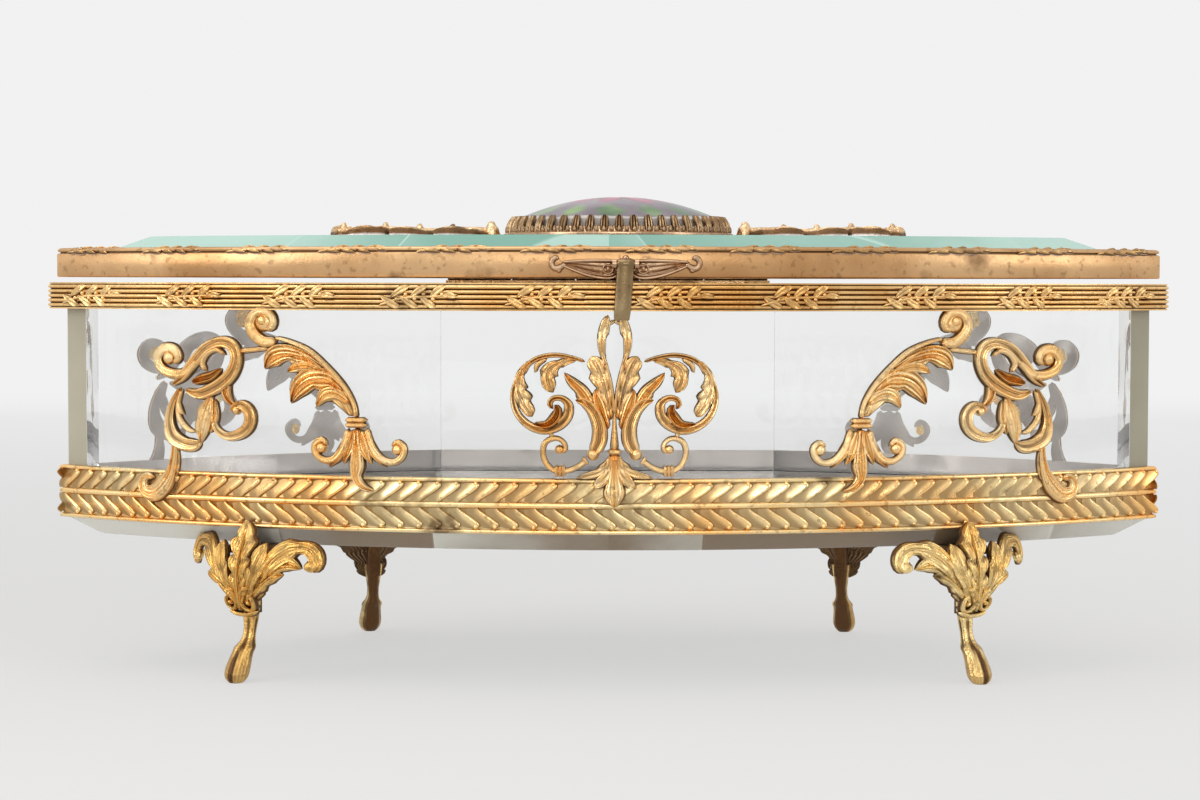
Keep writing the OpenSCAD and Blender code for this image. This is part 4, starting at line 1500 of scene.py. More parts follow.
@dataclass
class SideMount:
    """Openwork casting on a wall: a ragged leaf under a curled knob, a pierced scroll and a tail."""

    step: float = 0.7

    def relief(self) -> Relief:
        """The casting, with its leaf at the left.

        Returns:
            The relief.
        """
        r = Relief(self.step)
        self.leaf(r)
        self.scroll(r)
        self.trefoil(r)
        return r

    def leaf(self, r: Relief) -> None:
        """Adds the ragged leaf with its rim, its neck and its knob.

        Args:
            r: The relief to add them to.
        """
        r.strap([
            (-1.7, 37.2, 1.3, 0.7), (-6.5, 35.7, 2.2, 0.7), (-11.3, 32.9, 3.2, 0.7),
            (-15.6, 29.5, 3.4, 0.7), (-18.8, 25.6, 2.4, 0.7), (-21.4, 20.9, 0.7, 0.6),
        ], LEAF, 1.3, across=13)
        r.strap([
            (-20.7, 23.9, 0.7), (-17.4, 26.2, 1.6), (-14.4, 25.8, 1.7), (-12.2, 22.9, 0.2),
        ], FLUTED, 1.6, across=13)
        r.strap([
            (-19.3, 26.5, 0.9), (-15.6, 29.3, 2.1), (-11.3, 29.3, 2.8), (-8, 27.2, 2.2), (-5.8, 23.6, 0.2),
        ], FLUTED, 2, (0, 2), across=15)
        r.strap([
            (-15.1, 30.8, 0.8), (-10.4, 32.5, 1.3), (-7, 32.2, 1.2), (-4.7, 31, 0.2),
        ], FLUTED, 1.7, across=11)
        r.strap([
            (-14.2, 32.1, 0.7), (-9.4, 34.5, 1.4), (-4.6, 35.4, 2.1), (-1.2, 34.3, 2.2), (1, 31.6, 0.2),
        ], FLUTED, 2, (0, 2), across=15)
        r.strap([
            (-1.7, 39.2, 0.5), (-5.6, 38.3, 0.6), (-10.6, 36.2, 0.7), (-15.3, 32.3, 0.7), (-19.3, 28, 0.7),
            (-21.7, 23.9, 0.6), (-22.4, 20.4, 0.6),
        ], ROUND, 2.1, across=7)
        r.strap([
            (-3.4, 37.2, 0.2), (-7, 36.4, 0.25), (-11.4, 33.9, 0.3), (-15.6, 30.4, 0.3), (-18.6, 26.8, 0.2),
        ], ROUND, 2, across=5)
        r.bud((1.5, 42.9), 2.5, 1.7)
        r.strap([
            (-2.2, 38.5, 1.1), (0.8, 38.1, 1.5), (3.6, 39.8, 1.6), (4.8, 42.6, 1.5), (3.2, 45.1, 1.3),
            (0.5, 45.4, 1.3), (-1.3, 43.5, 1.2), (-1, 41.6, 1), (0.8, 41.1, 0.6),
        ], ROUND, 2.3)
        r.bud((1.5, 43.2), 1.4, 2.4)
        r.strap([(8.3, 35.8, 0.7), (4.2, 36.2, 0.7), (0, 36.7, 0.7)], ROUND, 1.3, across=5)

    def scroll(self, r: Relief) -> None:
        """Adds the pierced scroll, its curled ball, its hanging leaves and the tail.

        Args:
            r: The relief to add them to.
        """
        r.strap([
            (24.5, 26.9, 0.4), (26.6, 23.1, 1), (27.6, 19, 1.5), (26.6, 15.1, 2.2), (23.4, 13.3, 1.9),
            (20.3, 13.1, 1.6), (18.5, 14, 0.6),
        ], SCROLL, 1.9, across=11)
        r.strap([
            (23.9, 26.5, 0.4), (25, 23.1, 0.7), (24.7, 19.6, 0.8), (22.3, 16.9, 0.8), (20.1, 16.3, 0.3),
        ], ROUND, 1.6, across=7)
        r.strap([(25, 23.8, 0.4), (24.5, 21.6, 0.9), (23.3, 20.3, 0.2)], ROUND, 1.7, across=7)
        r.strap([
            (15.4, 25.3, 0.7), (16.9, 21.5, 2.2), (18, 17.9, 2.4), (18.4, 13.8, 0.3),
        ], FLUTED, 2, (2, 2), across=13)
        r.strap([(14.7, 24.3, 0.6), (14.7, 19.8, 1.2), (16.1, 16.1, 0.4)], FLUTED, 1.7)
        r.strap([
            (14.9, 22.1, 0.5), (14.3, 17.6, 0.9), (11.3, 15.5, 1.1), (7.7, 16.1, 1.5), (5.2, 18.2, 1.7),
            (5, 21.1, 1.7), (6.8, 22.9, 1.4), (9.3, 22.6, 0.9), (9.7, 21.1, 0.4),
        ], SCROLL, 2, across=11)
        r.bud((8.7, 21.8), 1.2, 1.9)
        r.strap([
            (10.7, 29.4, 0.8), (11.5, 26.5, 1.3), (10.7, 24.2, 1), (9.1, 22.9, 0.3),
        ], FLUTED, 1.7)
        r.strap([
            (19, 33.7, 0.8), (22.1, 30.8, 1.3), (26, 30.1, 1.4), (29.7, 31.4, 1.4), (30.8, 34.1, 1.5),
            (28.9, 36.2, 1.6), (25.9, 36, 1.4), (24.8, 34, 1.2), (26.2, 32.6, 0.5),
        ], ROUND, 2.1)
        r.bud((27.6, 34.0), 1.7, 2.2)
        r.strap([
            (26.7, 27.3, 0.3), (23.4, 29.6, 1.3), (20.2, 33.2, 1.6), (16.8, 36.5, 1.6), (12.9, 38, 1.5),
            (9.7, 37.2, 1.7), (8.4, 34.4, 1.7), (9.4, 31.1, 1.8), (11.9, 28.5, 1.9), (15.5, 26.5, 1.8),
            (19.1, 25.5, 1.5), (22.8, 26.5, 0.4),
        ], SCROLL, 2.3, across=13)
        r.strap([
            (20.6, 28.2, 0.4), (18.4, 28.9, 1.1), (15, 29.8, 1.1), (12.3, 31.6, 0.5),
        ], FLUTED, 2, lift=0.7)
        r.strap([
            (16.9, 30.9, 0.5), (18, 33, 0.9), (16.5, 35.3, 0.9), (13.9, 36.2, 0.8), (11.6, 34.9, 0.5),
        ], ROUND, 1.9, across=7)
        r.strap([
            (26, 13.6, 0.8), (26.3, 10.1, 0.9), (27.2, 6.5, 1.3), (29.2, 3.4, 2.1), (32.2, 1.2, 2),
            (35, 1.7, 1.5), (35.6, 3.9, 1.2), (34.3, 5.2, 0.9), (32.4, 4.9, 0.5),
        ], FLUTED, 2.1, across=13)
        r.strap([(25.6, 12.6, 0.3), (25.2, 9, 0.4), (26, 5.6, 0.4), (28, 3.6, 0.3)], LEAF, 1.2, across=5)

    def trefoil(self, r: Relief) -> None:
        """Adds the collar and the three leaves under it.

        Args:
            r: The relief to add them to.
        """
        r.strap([
            (-20.3, 18, 0.7), (-19.2, 13.9, 1.1), (-17, 10.9, 1), (-14.2, 10.4, 0.9), (-12.1, 12, 0.9),
            (-11.9, 14.1, 0.9), (-13.7, 15.3, 0.8), (-15.1, 13.9, 0.4),
        ], ROUND, 1.8)
        r.bud((-13.4, 13.3), 1.4, 1.9)
        r.strap([
            (-24.8, 18.1, 0.7), (-26, 14, 1), (-28.5, 10.9, 1), (-31.3, 10.2, 0.9), (-33.4, 11.5, 0.9),
            (-33.9, 13.7, 0.8), (-32.3, 15, 0.7), (-30.8, 14, 0.4),
        ], ROUND, 1.8)
        r.bud((-32.2, 13.2), 1.4, 1.9)
        r.strap([(-25.1, 16.4, 0.5), (-26.7, 12.3, 1.1), (-29.7, 8.9, 0.2)], FLUTED, 1.7)
        r.strap([(-19.9, 16.3, 0.5), (-18.4, 12.1, 1.2), (-15.4, 8.7, 0.2)], FLUTED, 1.7)
        r.strap([(-23.1, 17.8, 0.8), (-24.3, 13.5, 1.5), (-26, 9.6, 0.2)], FLUTED, 2, across=11)
        r.strap([(-21.7, 17.8, 0.8), (-20.8, 13.9, 1.5), (-19.1, 9.6, 0.2)], FLUTED, 2, across=11)
        r.strap([
            (-22.4, 18.3, 0.7), (-22.5, 13.5, 1.2), (-22.5, 9.4, 1.8), (-22.4, 6.6, 1.2), (-24, 4.4, 0.9),
            (-26.7, 3.4, 0.2),
        ], FLUTED, 2.3, across=11)
        r.collar((-22.2, 19.4), (5.4, 2.3), 2.3, 2)


@dataclass
class CentreMount:
    """Openwork casting in the middle of the front: leaf sprays over scrolls and a pendent leaf."""

    step: float = 0.7

    def relief(self) -> Relief:
        """The whole casting.

        Returns:
            The relief.
        """
        r = Relief(self.step)
        self.scrolls(r)
        self.sprays(r)
        whole = r.both_sides()
        whole.strap([(0, 25.6, 0.2), (0, 20.1, 0.5), (0, 16.7, 0.8), (0, 13.3, 1.2)], ROUND, 2, across=7)
        whole.strap([
            (0, 13, 0.7), (0, 9.6, 0.9), (0, 6.2, 1.6), (0, 3.5, 2.2), (0, 1.4, 1.4), (0, 0.1, 0.1),
        ], FLUTED, 2.4, across=13)
        whole.collar((0.0, 13.1), (3.4, 1.2), 2.4, 1)
        return whole

    def sprays(self, r: Relief) -> None:
        """Adds the upright leaves and the straps that they grow from.

        Args:
            r: The relief to add them to.
        """
        r.strap([
            (1.5, 44.8, 0.4), (2, 42.9, 1), (2.8, 40.2, 1, 1.2), (3, 37.8, 0.8, 1), (2.7, 35.6, 0.6),
            (1.9, 33, 0.5), (1.2, 29.4, 0.3),
        ], LEAF, 1.9, (0, 3), across=11)
        r.strap([(0, 43.5, 0.5), (0.5, 43.2, 0.5), (1.4, 42.6, 0.4)], ROUND, 1.5, across=5)
        r.strap([
            (5.2, 23.4, 1.2), (7.3, 26.6, 1.5), (9.4, 28.8, 1.2), (10.7, 30.3, 0.7), (11.6, 31.5, 0.1),
        ], FLUTED, 1.9, (0, 2), across=11)
        r.strap([
            (0.8, 20.5, 0.4, 0.5), (1.8, 26.3, 1, 2), (3, 30.3, 1.5, 2.4), (4.1, 33.1, 1.6, 2.1),
            (5.4, 35.2, 0.9, 1.2),
        ], LEAF, 2.2, (0, 4), across=15)
        r.strap([
            (1.4, 18.4, 0.5), (3.1, 22.8, 1.5), (4, 25.4, 1.3), (4.5, 27.6, 0.2),
        ], FLUTED, 2.1, (0, 2), across=11)
        r.strap([
            (0.1, 21.5, 0.3), (0.5, 26.3, 0.5), (1.3, 30.3, 0.6), (2.1, 33.7, 0.4),
        ], ROUND, 1.8, across=5)
        r.strap([
            (9, 25.1, 0.4), (6.8, 24.6, 1.3), (4.8, 22.5, 1.6), (3.5, 19.1, 1.8), (3.5, 15.7, 1.9),
            (4.9, 12.6, 1.5),
        ], SCROLL, 2.5, across=13)
        r.bud((4.9, 12.5), 1.5, 2.1, 0.6)

    def scrolls(self, r: Relief) -> None:
        """Adds the outer scrolls with their hanging leaves, and the lower curls.

        Args:
            r: The relief to add them to.
        """
        r.strap([
            (8.7, 34.4, 0.3, 0.5), (11.7, 34, 0.7, 1), (14.5, 32.7, 1.4, 1.9), (15.5, 30.3, 1.8, 2),
            (14.9, 28.1, 1.2, 1.4), (14.1, 26.8, 0.1),
        ], LEAF, 2, (3, 3), across=15)
        r.strap([
            (15.5, 34.8, 0.3, 0.5), (17.9, 33.4, 0.5, 0.9), (18.1, 32, 0.5), (18.5, 31.4, 0.1),
        ], ROUND, 1.7, across=7)
        r.strap([
            (19.2, 34.1, 0.6, 0.5), (21.6, 31, 0.9, 1), (22.3, 27.3, 0.8, 2.4), (20.9, 23.9, 1, 2.2),
            (19, 21.2, 0.7, 1),
        ], LEAF, 2, (0, 4), across=15)
        r.strap([
            (6.8, 34, 0.4), (10, 35, 0.5), (14.1, 35.5, 0.6), (18.3, 34.5, 0.6), (21.3, 31.6, 0.7),
            (23.2, 27.6, 0.7), (23.2, 24.1, 0.8), (21.9, 21.2, 0.9), (19.4, 19, 1), (16.1, 18.2, 1.2),
            (12.9, 19.3, 1.4), (10.9, 21.2, 1.3), (10.5, 23.4, 1.2), (11.1, 24.8, 0.9), (12.6, 25.6, 0.7),
            (14.3, 25.3, 0.7), (14.9, 24.1, 0.7), (14.1, 23, 0.4),
        ], SCROLL, 1.9)
        r.strap([
            (18.8, 19.6, 0.3), (15.6, 19.4, 0.9), (13.6, 21, 1.2), (13, 23, 0.8), (13.8, 24, 0.3),
        ], FLUTED, 1.9, lift=0.7)
        r.strap([
            (6.2, 11.2, 0.7), (8.3, 9.7, 0.7), (10.4, 8.8, 0.7), (12.4, 8.6, 0.7), (14.3, 9, 0.7),
            (15.9, 10.7, 0.7), (16.5, 13, 0.7), (16, 15.1, 0.7), (14.5, 16.1, 0.7), (12.8, 16.1, 0.6),
            (11.5, 15, 0.6), (11.3, 13.6, 0.6), (12.2, 12.7, 0.4),
        ], ROUND, 1.7, across=7)
        r.bud((12.7, 13.6), 1.1, 1.7)
        r.strap([(14.1, 15.6, 0.5), (14.5, 16.8, 0.5), (14.9, 18.2, 0.5)], ROUND, 1.3, across=5)
        for x in (11.7, 12.5, 13.3):
            r.strap([(x, 7.2, 0.42), (x, 8.6, 0.5), (x, 10.1, 0.42)], ROUND, 2.1, across=7)
        r.strap([(6, 10.1, 0.4), (6.7, 11, 0.5), (7.3, 12, 0.4)], ROUND, 2, across=7)
        r.strap([
            (0.7, 12.7, 0.5), (1.4, 10.3, 1), (3.9, 8.2, 1.2), (8.8, 7, 0.2),
        ], LEAF, 1.9, (2, 2), across=11)
        r.strap([
            (0.7, 12.7, 0.5), (1.2, 8.9, 1.2), (2.8, 6.5, 1.4), (5.1, 4.6, 0.2),
        ], LEAF, 2.2, (2, 2), across=11)


@dataclass
class WallMounts(Assembly):
    """The five openwork castings, set between the two bands."""

    band_top: float
    overlap: float = 6.8
    centre_x: float = 1.3
    side_in: float = 54.8
    face: float = 1.0

    def on_wall(self, wall: Wall, s: float) -> Place:
        """Places a drawing on a wall, around the given distance from its middle."""
        return lambda x, y, h: wall.place(s + x, self.band_top - self.overlap + y, self.face + h)

    def build(self) -> None:
        """Makes the castings."""
        front, side = self.plan.front, self.plan.side
        at, centre = front.along(self.plan.half_width - self.side_in), front.along(self.centre_x)
        drawing = SideMount().relief().shells
        turned = [s.mirrored() for s in drawing]
        for name, shells, wall, s, flip in (
            ("front_right_mount", drawing, front, at, False),
            ("front_left_mount", drawing, front, at, True),
            ("front_centre_mount", CentreMount().relief().shells, front, centre, False),
            ("rear_right_mount", turned, side, 0.0, False),
            ("rear_left_mount", turned, side, 0.0, True),
        ):
            piece = Casting(name.replace("mount", "openwork"), Body.CASKET, "mounts", [self.finishes.mount])
            piece.add(shells, self.on_wall(wall, s), flip).piece(name)


@dataclass
class HoofFoot:
    """A cast foot: a fan of acanthus over two small volutes, a grooved leg and a round hoof."""

    base: float
    step: float = 0.7
    bracket_low: float = 16.0
    plate_t: float = 2.0
    stem_half: float = 1.6
    plate_half: float = 4.8
    plate_reach: float = 10.5

    def belly(self, z: Array) -> Array:
        """How far the fan stands out from the glass at height z."""
        heights = [0.0, 15.0, 19.0, 24.0, 28.0, 33.5, 36.6, 41.0]
        return np.interp(z, heights, [-1.2, -0.8, 1.6, 3.2, 3.6, 2.2, 1.0, 1.0])

    def fan(self) -> Relief:
        """The acanthus fan and its volutes: X towards the corner, Y as the height over the floor.

        Returns:
            The relief.
        """
        r = Relief(self.step)
        r.strap([
            (-0.2, 15.6, 2.2), (-0.3, 18.6, 3.7), (-0.8, 22, 5.2), (-1.3, 26, 7.2), (-1.5, 30.5, 8.8),
        ], FLUTED, 0.9, (4, 4), across=25)
        r.strap([
            (-2.6, 20.5, 0.8), (-6.3, 23.6, 1.7), (-9.4, 26, 1.9), (-12.4, 26.2, 0.3),
        ], FLUTED, 1.7, (2, 0), across=11)
        r.strap([
            (-6.5, 24, 0.9), (-10.4, 27.4, 1.7), (-14, 28.9, 1.7), (-17.2, 27.9, 0.3),
        ], FLUTED, 1.8, (2, 0), across=11)
        r.strap([
            (-1.6, 19, 0.9), (-5.6, 23.6, 1.7), (-9.4, 28.6, 2.4), (-13.2, 31.8, 2.4), (-17.4, 32.8, 1.8),
            (-20.2, 31.4, 1.7), (-20.8, 28.8, 1.5), (-19.4, 27.4, 0.6),
        ], LEAF, 2.2, (3, 3), across=15)
        r.bud((-19.5, 28.6), 1.6, 2.4, 1.0)
        r.strap([
            (1.8, 20.5, 0.8), (5, 23.4, 1.6), (8, 25.2, 1.7), (10.4, 25.4, 0.3),
        ], FLUTED, 1.7, (0, 2), across=11)
        r.strap([
            (1.4, 19, 0.9), (4.6, 23.8, 1.6), (7.8, 29.4, 2.3), (11, 33, 2.2), (14.6, 32.8, 1.9),
            (16, 30.4, 1.7), (15.2, 28.4, 1.2), (13.8, 28.2, 0.5),
        ], LEAF, 2.2, (3, 3), across=15)
        r.bud((14.8, 29.4), 1.5, 2.4, 1.0)
        r.strap([
            (-1.2, 18.6, 0.8), (-4.4, 24.8, 1.9), (-6.6, 30.1, 2.3), (-7.6, 33.6, 0.5),
        ], LEAF, 2.2, (3, 3), lift=0.4, across=13)
        r.strap([
            (1, 18.6, 0.8), (3.4, 24.8, 1.9), (4.7, 30.1, 2.2), (4.9, 33.8, 0.5),
        ], LEAF, 2.2, (3, 3), lift=0.4, across=13)
        r.strap([
            (-0.2, 17.6, 0.7), (-0.8, 24, 2.2), (-1.5, 30, 2.9), (-1.9, 34.6, 3.2), (-2, 38.6, 0.5),
        ], LEAF, 2.4, (5, 5), lift=0.7, across=15)
        r.strap([
            (-0.2, 17, 0.3), (-0.8, 23, 0.45), (-1.4, 29, 0.4), (-1.9, 36, 0.2),
        ], ROUND, 2.9, lift=0.7, across=5)
        for side, x, size in ((1, -2.7, 1.12), (-1, 2.6, 0.98)):
            ring = []
            for i, a in enumerate(np.radians(np.arange(110, -330, -40))):
                out, up = side * size * (2.4 - 0.16 * i), size * (3.1 - 0.2 * i)
                ring.append((x + out * math.cos(a), 19.4 + up * math.sin(a), 0.62 * size - 0.02 * i))
            r.strap(ring, ROUND, 2.3, lift=0.5, across=7)
            r.bud((x, 19.0), 0.75 * size, 2.3, lift=0.4, fine=6)
        r.strap([
            (-4.2, 17, 0.5), (-2, 16.1, 0.7), (0, 15.9, 0.7), (2, 16.1, 0.7), (3.8, 17, 0.5),
        ], ROUND, 2.2, lift=0.6, across=7)
        return r

    def leg(self) -> Shell:
        """The grooved leg and the hoof, as X, height and distance out.

        Returns:
            The closed shell.
        """
        rows = np.array([
            (19.0, -1.4, 2.5, 2.0), (17.0, -1.2, 2.4, 2.1), (15.0, -1.3, 2.0, 1.9), (12.5, -1.0, 1.65, 1.6),
            (10.6, -0.5, 1.65, 1.6), (9.4, 0.1, 1.95, 1.9), (8.3, 0.9, 2.45, 2.4), (7.2, 1.9, 2.6, 2.6),
            (5.4, 3.0, 2.75, 2.8), (3.6, 3.9, 3.0, 3.0), (2.2, 4.4, 3.0, 3.05), (1.2, 4.6, 2.7, 2.8),
            (0.5, 4.7, 2.2, 2.3), (0.0, 4.7, 1.6, 1.7),
        ])
        z = np.concatenate([np.linspace(19.0, 3.0, 32, endpoint=False), np.linspace(3.0, 0.0, 12)])
        order = rows[::-1]
        out, rx, ry = (np.interp(z, order[:, 0], order[:, k])[:, None] for k in (1, 2, 3))
        phi = full_turn(36)[None, :]
        z = z[:, None]
        hoof = np.clip((8.6 - z) / 3.0, 0, 1)
        cleft = np.exp(-(((phi - np.pi / 2) / 0.2) ** 2)) * hoof
        flute = 0.1 * (0.5 + 0.5 * np.cos(5 * phi + np.pi)) * (1 - hoof)
        knots = 0.1 * np.exp(-(((z - 8.0) / 0.8) ** 2)) * (1 + 0.6 * np.cos(4 * phi))
        r = 1 - 0.16 * cleft - flute + knots
        rings = np.stack([rx * r * np.cos(phi), z + 0 * phi, out + ry * r * np.sin(phi)], -1)
        # Recess of the leg: the cleft and the flutes darken as hollows, and the leg is darker towards the
        # hoof and below 15 mm.
        shade = np.clip(cleft * 0.8 + flute * 6 + 0.32 * hoof + 0.2 * (z < 15.0), 0, 1)
        # Painted shade: the half of the leg that faces the glass is darkened up to full depth.
        return loft(rings, np.maximum(shade, np.clip(-np.sin(phi), 0, 1) + 0 * z), across=phi / 3 + 0 * z)

    def placed(self, origin: Sequence[float], facing: float) -> tuple[Place, Place]:
        """How the fan and the leg are placed.

        Args:
            origin: X and Y of the foot on the face of the glass.
            facing: Direction in which it looks, in radians.

        Returns:
            The place functions of the fan and of the leg.
        """
        n = np.array([math.cos(facing), math.sin(facing)])
        t = np.array([-n[1], n[0]])

        def leg(x: Array, y: Array, out: Array) -> Array:
            """Places the leg upright."""
            flat = np.array(origin) + x[..., None] * t + out[..., None] * n
            return np.concatenate([flat, y[..., None]], -1)

        def fan(x: Array, y: Array, h: Array) -> Array:
            """Places the fan on its bellied ground, bent back towards its arms."""
            bend = np.where(x > 0, x * x / 46, x * x / 150)
            return leg(x, y, self.belly(y) + h - bend)

        return fan, leg

    def bracket(self) -> list[Shell]:
        """The stem and the plate that carry the base glass, as X, height and distance out.

        Returns:
            Their two shells.
        """

        def bar(half: float, low: float, high: float, near: float, far: float) -> Shell:
            """An upright bar with chamfered corners.

            Args:
                half: Half its width.
                low, high: Its two ends.
                near, far: Distance out of its front and its back.

            Returns:
                The closed shell.
            """
            c = 0.3
            outline = [
                (-half + c, near), (half - c, near), (half, near - c), (half, far + c),
                (half - c, far), (-half + c, far), (-half, far + c), (-half, near - c),
            ]
            rings = [[(x, z, y) for x, y in outline] for z in (low, high)]
            return loft(np.array(rings, float), np.ones((2, 8)))

        return [
            bar(self.stem_half, self.bracket_low, self.base, 0.0, -4.0),
            bar(self.plate_half, self.base - self.plate_t, self.base, 1.0, -self.plate_reach),
        ]


@dataclass
class Feet(Assembly):
    """The four feet."""

    base: float
    front_in: float = 48.3
    rear_out: float = 19.0
    front_turn: float = 6.0
    rear_turn: float = 8.0

    def build(self) -> None:
        """Makes the feet."""
        front, side = self.plan.front, self.plan.side
        s_front = front.along(self.plan.half_width - self.front_in)
        across = (self.plan.back_half + self.rear_out - side.centre[0]) / side.radius
        s_rear = (math.acos(across) - side.facing) * side.radius
        for name, wall, s, turn in (
            ("front", front, s_front, self.front_turn),
            ("rear", side, s_rear, self.rear_turn),
        ):
            origin = wall.place(s, 0, 0)[:2]
            facing = wall.facing + s / wall.radius + math.radians(turn)
            foot = HoofFoot(self.base)
            fan, leg = foot.placed(origin, facing)
            for hand in ("right", "left"):
                flip = hand == "left"
                piece = Casting(f"{name}_{hand}_hoof_foot", Body.CASKET, "feet", [self.finishes.foot])
                piece.add(foot.fan().shells, fan, flip)
                piece.add([foot.leg(), *foot.bracket()], leg, flip).piece(f"{name}_{hand}_foot")


@dataclass
class Medallion(Assembly):
    """Domed enamel in a bezel of ribbed claws."""

    x: float
    glass: float
    ring_r: float = 29.0
    dome_r: float = 26.2
    claws: int = 48
    plate_t: float = 1.0
    edge_h: float = 4.2
    rise: float = 6.0

    def claw(self) -> list[Shell]:
        """One ribbed claw, which leans in over the edge of the dome.

        Returns:
            Its one shell.
        """
        z = np.array([1.0, 1.9, 2.8, 3.6, 4.3, 4.8, 5.1])[:, None]
        lean = np.array([0.0, 0.05, 0.2, 0.5, 0.9, 1.25, 1.5])[:, None]
        half = np.array([1.0, 1.05, 1.05, 1.0, 0.9, 0.66, 0.3])[:, None]
        u = np.linspace(-1, 1, 13)[None, :]
        ribs = 0.35 + 0.5 * np.abs(np.cos(1.5 * np.pi * u)) * np.sqrt(1 - 0.7 * u**4)
        face = np.stack([half * u, lean - ribs, z + 0 * u], -1)
        back = face[:, [-1, 0]].copy()
        back[..., 1] = lean + 0.35
        depth = np.concatenate([np.clip(1.3 - ribs * 1.55, 0, 1) + 0 * z, np.full((len(z), 2), 0.7)], 1)
        return [loft(np.concatenate([face, back], 1), depth)]

    def build(self) -> None:
        """Makes the bezel, its claws and the dome."""
        self.bezel()
        self.dome()
        g = self.glass
        hole, top = 0.2, g + self.plate_t
        plate = lathe([(hole, g), (self.dome_r, g), (self.dome_r, top), (hole, top)], (self.x, 0.0), 96)
        piece = Casting("medallion_back", Body.LID, "aged_brass", [self.finishes.brass])
        piece.add([plate]).piece("medallion_plate")

    def bezel(self) -> None:
        """Makes the ring, its claws and the points between them."""
        g, inner, outer = self.glass, self.dome_r + 0.15, self.ring_r
        outline = [
            (inner, g), (outer - 0.2, g), (outer, g + 0.3), (outer - 0.1, g + 0.8), (outer - 0.7, g + 1.1),
            (outer - 1.2, g + 1.6), (outer - 1.4, g + 2.3), (inner + 0.5, g + 2.5), (inner, g + 2.4),
        ]
        piece = Casting("bezel_ring", Body.LID, "aged_brass", [self.finishes.plaque])
        piece.add([lathe(outline, (self.x, 0.0), 192)]).piece("medallion_bezel")
        point = Relief(step=0.4)
        point.strap([(0, 0.9, 0.75), (0, 1.6, 0.55), (0, 2.6, 0.1)], ROUND, 0.5, across=5)
        rows = (
            ("bezel_claws", self.claw(), outer - 1.4, self.claws),
            ("bezel_points", [upright(s) for s in point.shells], outer - 0.9, 2 * self.claws),
        )
        turn = full_turn(480)
        for name, stamp, r, count in rows:
            path = np.stack([self.x + r * np.cos(turn), r * np.sin(turn), np.full(480, g)], 1)
            pitch = 2 * np.pi * r / count
            row = self.stamper.along(name, stamp, [path], pitch, self.finishes.brass, ring=True)
            settle(row, Body.LID, "aged_brass")

    def dome(self) -> None:
        """Makes the enamelled dome."""
        g = self.glass
        ball = (self.dome_r**2 + self.rise**2) / (2 * self.rise)
        top = g + self.edge_h + self.rise
        turn = np.linspace(math.asin(self.dome_r / ball), 0.002, 40)
        arc = [(ball * math.sin(a), top - ball + ball * math.cos(a)) for a in turn]
        low = g + self.plate_t
        rows = np.array([(0.05, low), (self.dome_r - 0.3, low), (self.dome_r, low + 0.3)] + arc)
        enamel = Enamel("painted_enamel", (self.x * MM, 0.0), self.dome_r * MM).material()
        turn = full_turn(128)[None, :]
        radius, height = rows[:, :1], rows[:, 1:] + 0 * turn
        dome = loft(np.stack([self.x + radius * np.cos(turn), radius * np.sin(turn), height], -1))
        Casting("enamel_dome", Body.LID, "enamel", [enamel]).add([dome]).piece("medallion_dome")


@dataclass
class LidSprays(Assembly):
    """The two leaf scrolls beside the medallion."""

    x: float
    glass: float
    start: float = 29.8

    def relief(self) -> Relief:
        """One scroll, from the medallion outwards.

        Returns:
            The relief.
        """
        r = Relief(step=0.8)
        for rows in (
            [(2, 0.6, 0.8), (6, 2.6, 1.8), (10, 5.4, 1.6), (14.5, 6.6, 0.3)],
            [(12, 1.5, 0.8), (16, 3.6, 1.8), (20, 5.4, 1.5), (24.5, 5.6, 0.3)],
            [(22, -0.5, 0.8), (26, 1.6, 1.6), (30, 3.4, 1.3), (34, 3.8, 0.3)],
            [(3, 0, 0.8), (7, -2.4, 1.8), (11.5, -5.4, 1.6), (16.5, -6.6, 0.3)],
            [(14, 0.4, 0.8), (18, -2.6, 1.8), (22.5, -5.4, 1.5), (27.5, -6.2, 0.3)],
            [(26, -2.2, 0.8), (30, -4.6, 1.5), (34.5, -5.8, 1.2), (38.5, -5.2, 0.3)],
            [(32, -2.0, 0.7), (36, -3.6, 1.3), (39.5, -3.6, 1.1), (42.0, -1.8, 0.3)],
        ):
            r.strap(rows, LEAF, 1.8, (2, 2), across=11)
        stem = [
            (0, 0, 1.4), (8, 1.6, 1.7), (16, 1.2, 1.9), (24, -1.6, 1.7), (32, -2.0, 1.5), (38, 0.2, 1.3),
            (41.6, 3.0, 1.4), (41.2, 5.6, 1.3), (38.8, 5.6, 1.0), (38.2, 4.0, 0.5),
        ]
        r.strap(stem, SCROLL, 2.3, across=11)
        buds = ((2.0, 0.2, 1.9), (12.0, 1.7, 1.4), (20.2, 0.2, 1.5), (28.6, -2.2, 1.3), (39.8, 4.4, 1.3))
        for x, y, size in buds:
            r.bud((x, y), size, size + 2.0, 0.9)
        return r

    def build(self) -> None:
        """Makes both scrolls."""

        def place(x: Array, y: Array, h: Array) -> Array:
            """Lays the scroll on the glass, with its leaf tips curled up."""
            curl = 1.3 * (np.abs(y) / 7.0) ** 2 + 0.4 * np.clip(np.sin(x / 3.8), 0, 1)
            return np.stack([self.start + x, y, self.glass + h + curl * (h > 0.01)], -1)

        for hand in ("right", "left"):
            shells = [s.mapped(place) for s in self.relief().shells]
            shells = [s.mirrored() if hand == "left" else s for s in shells]
            shells = [replace(s, points=s.points + (self.x, 0, 0)) for s in shells]
            piece = Casting(f"lid_scroll_{hand}", Body.LID, "mounts", [self.finishes.spray])
            piece.add(shells).piece(f"lid_spray_{hand}")


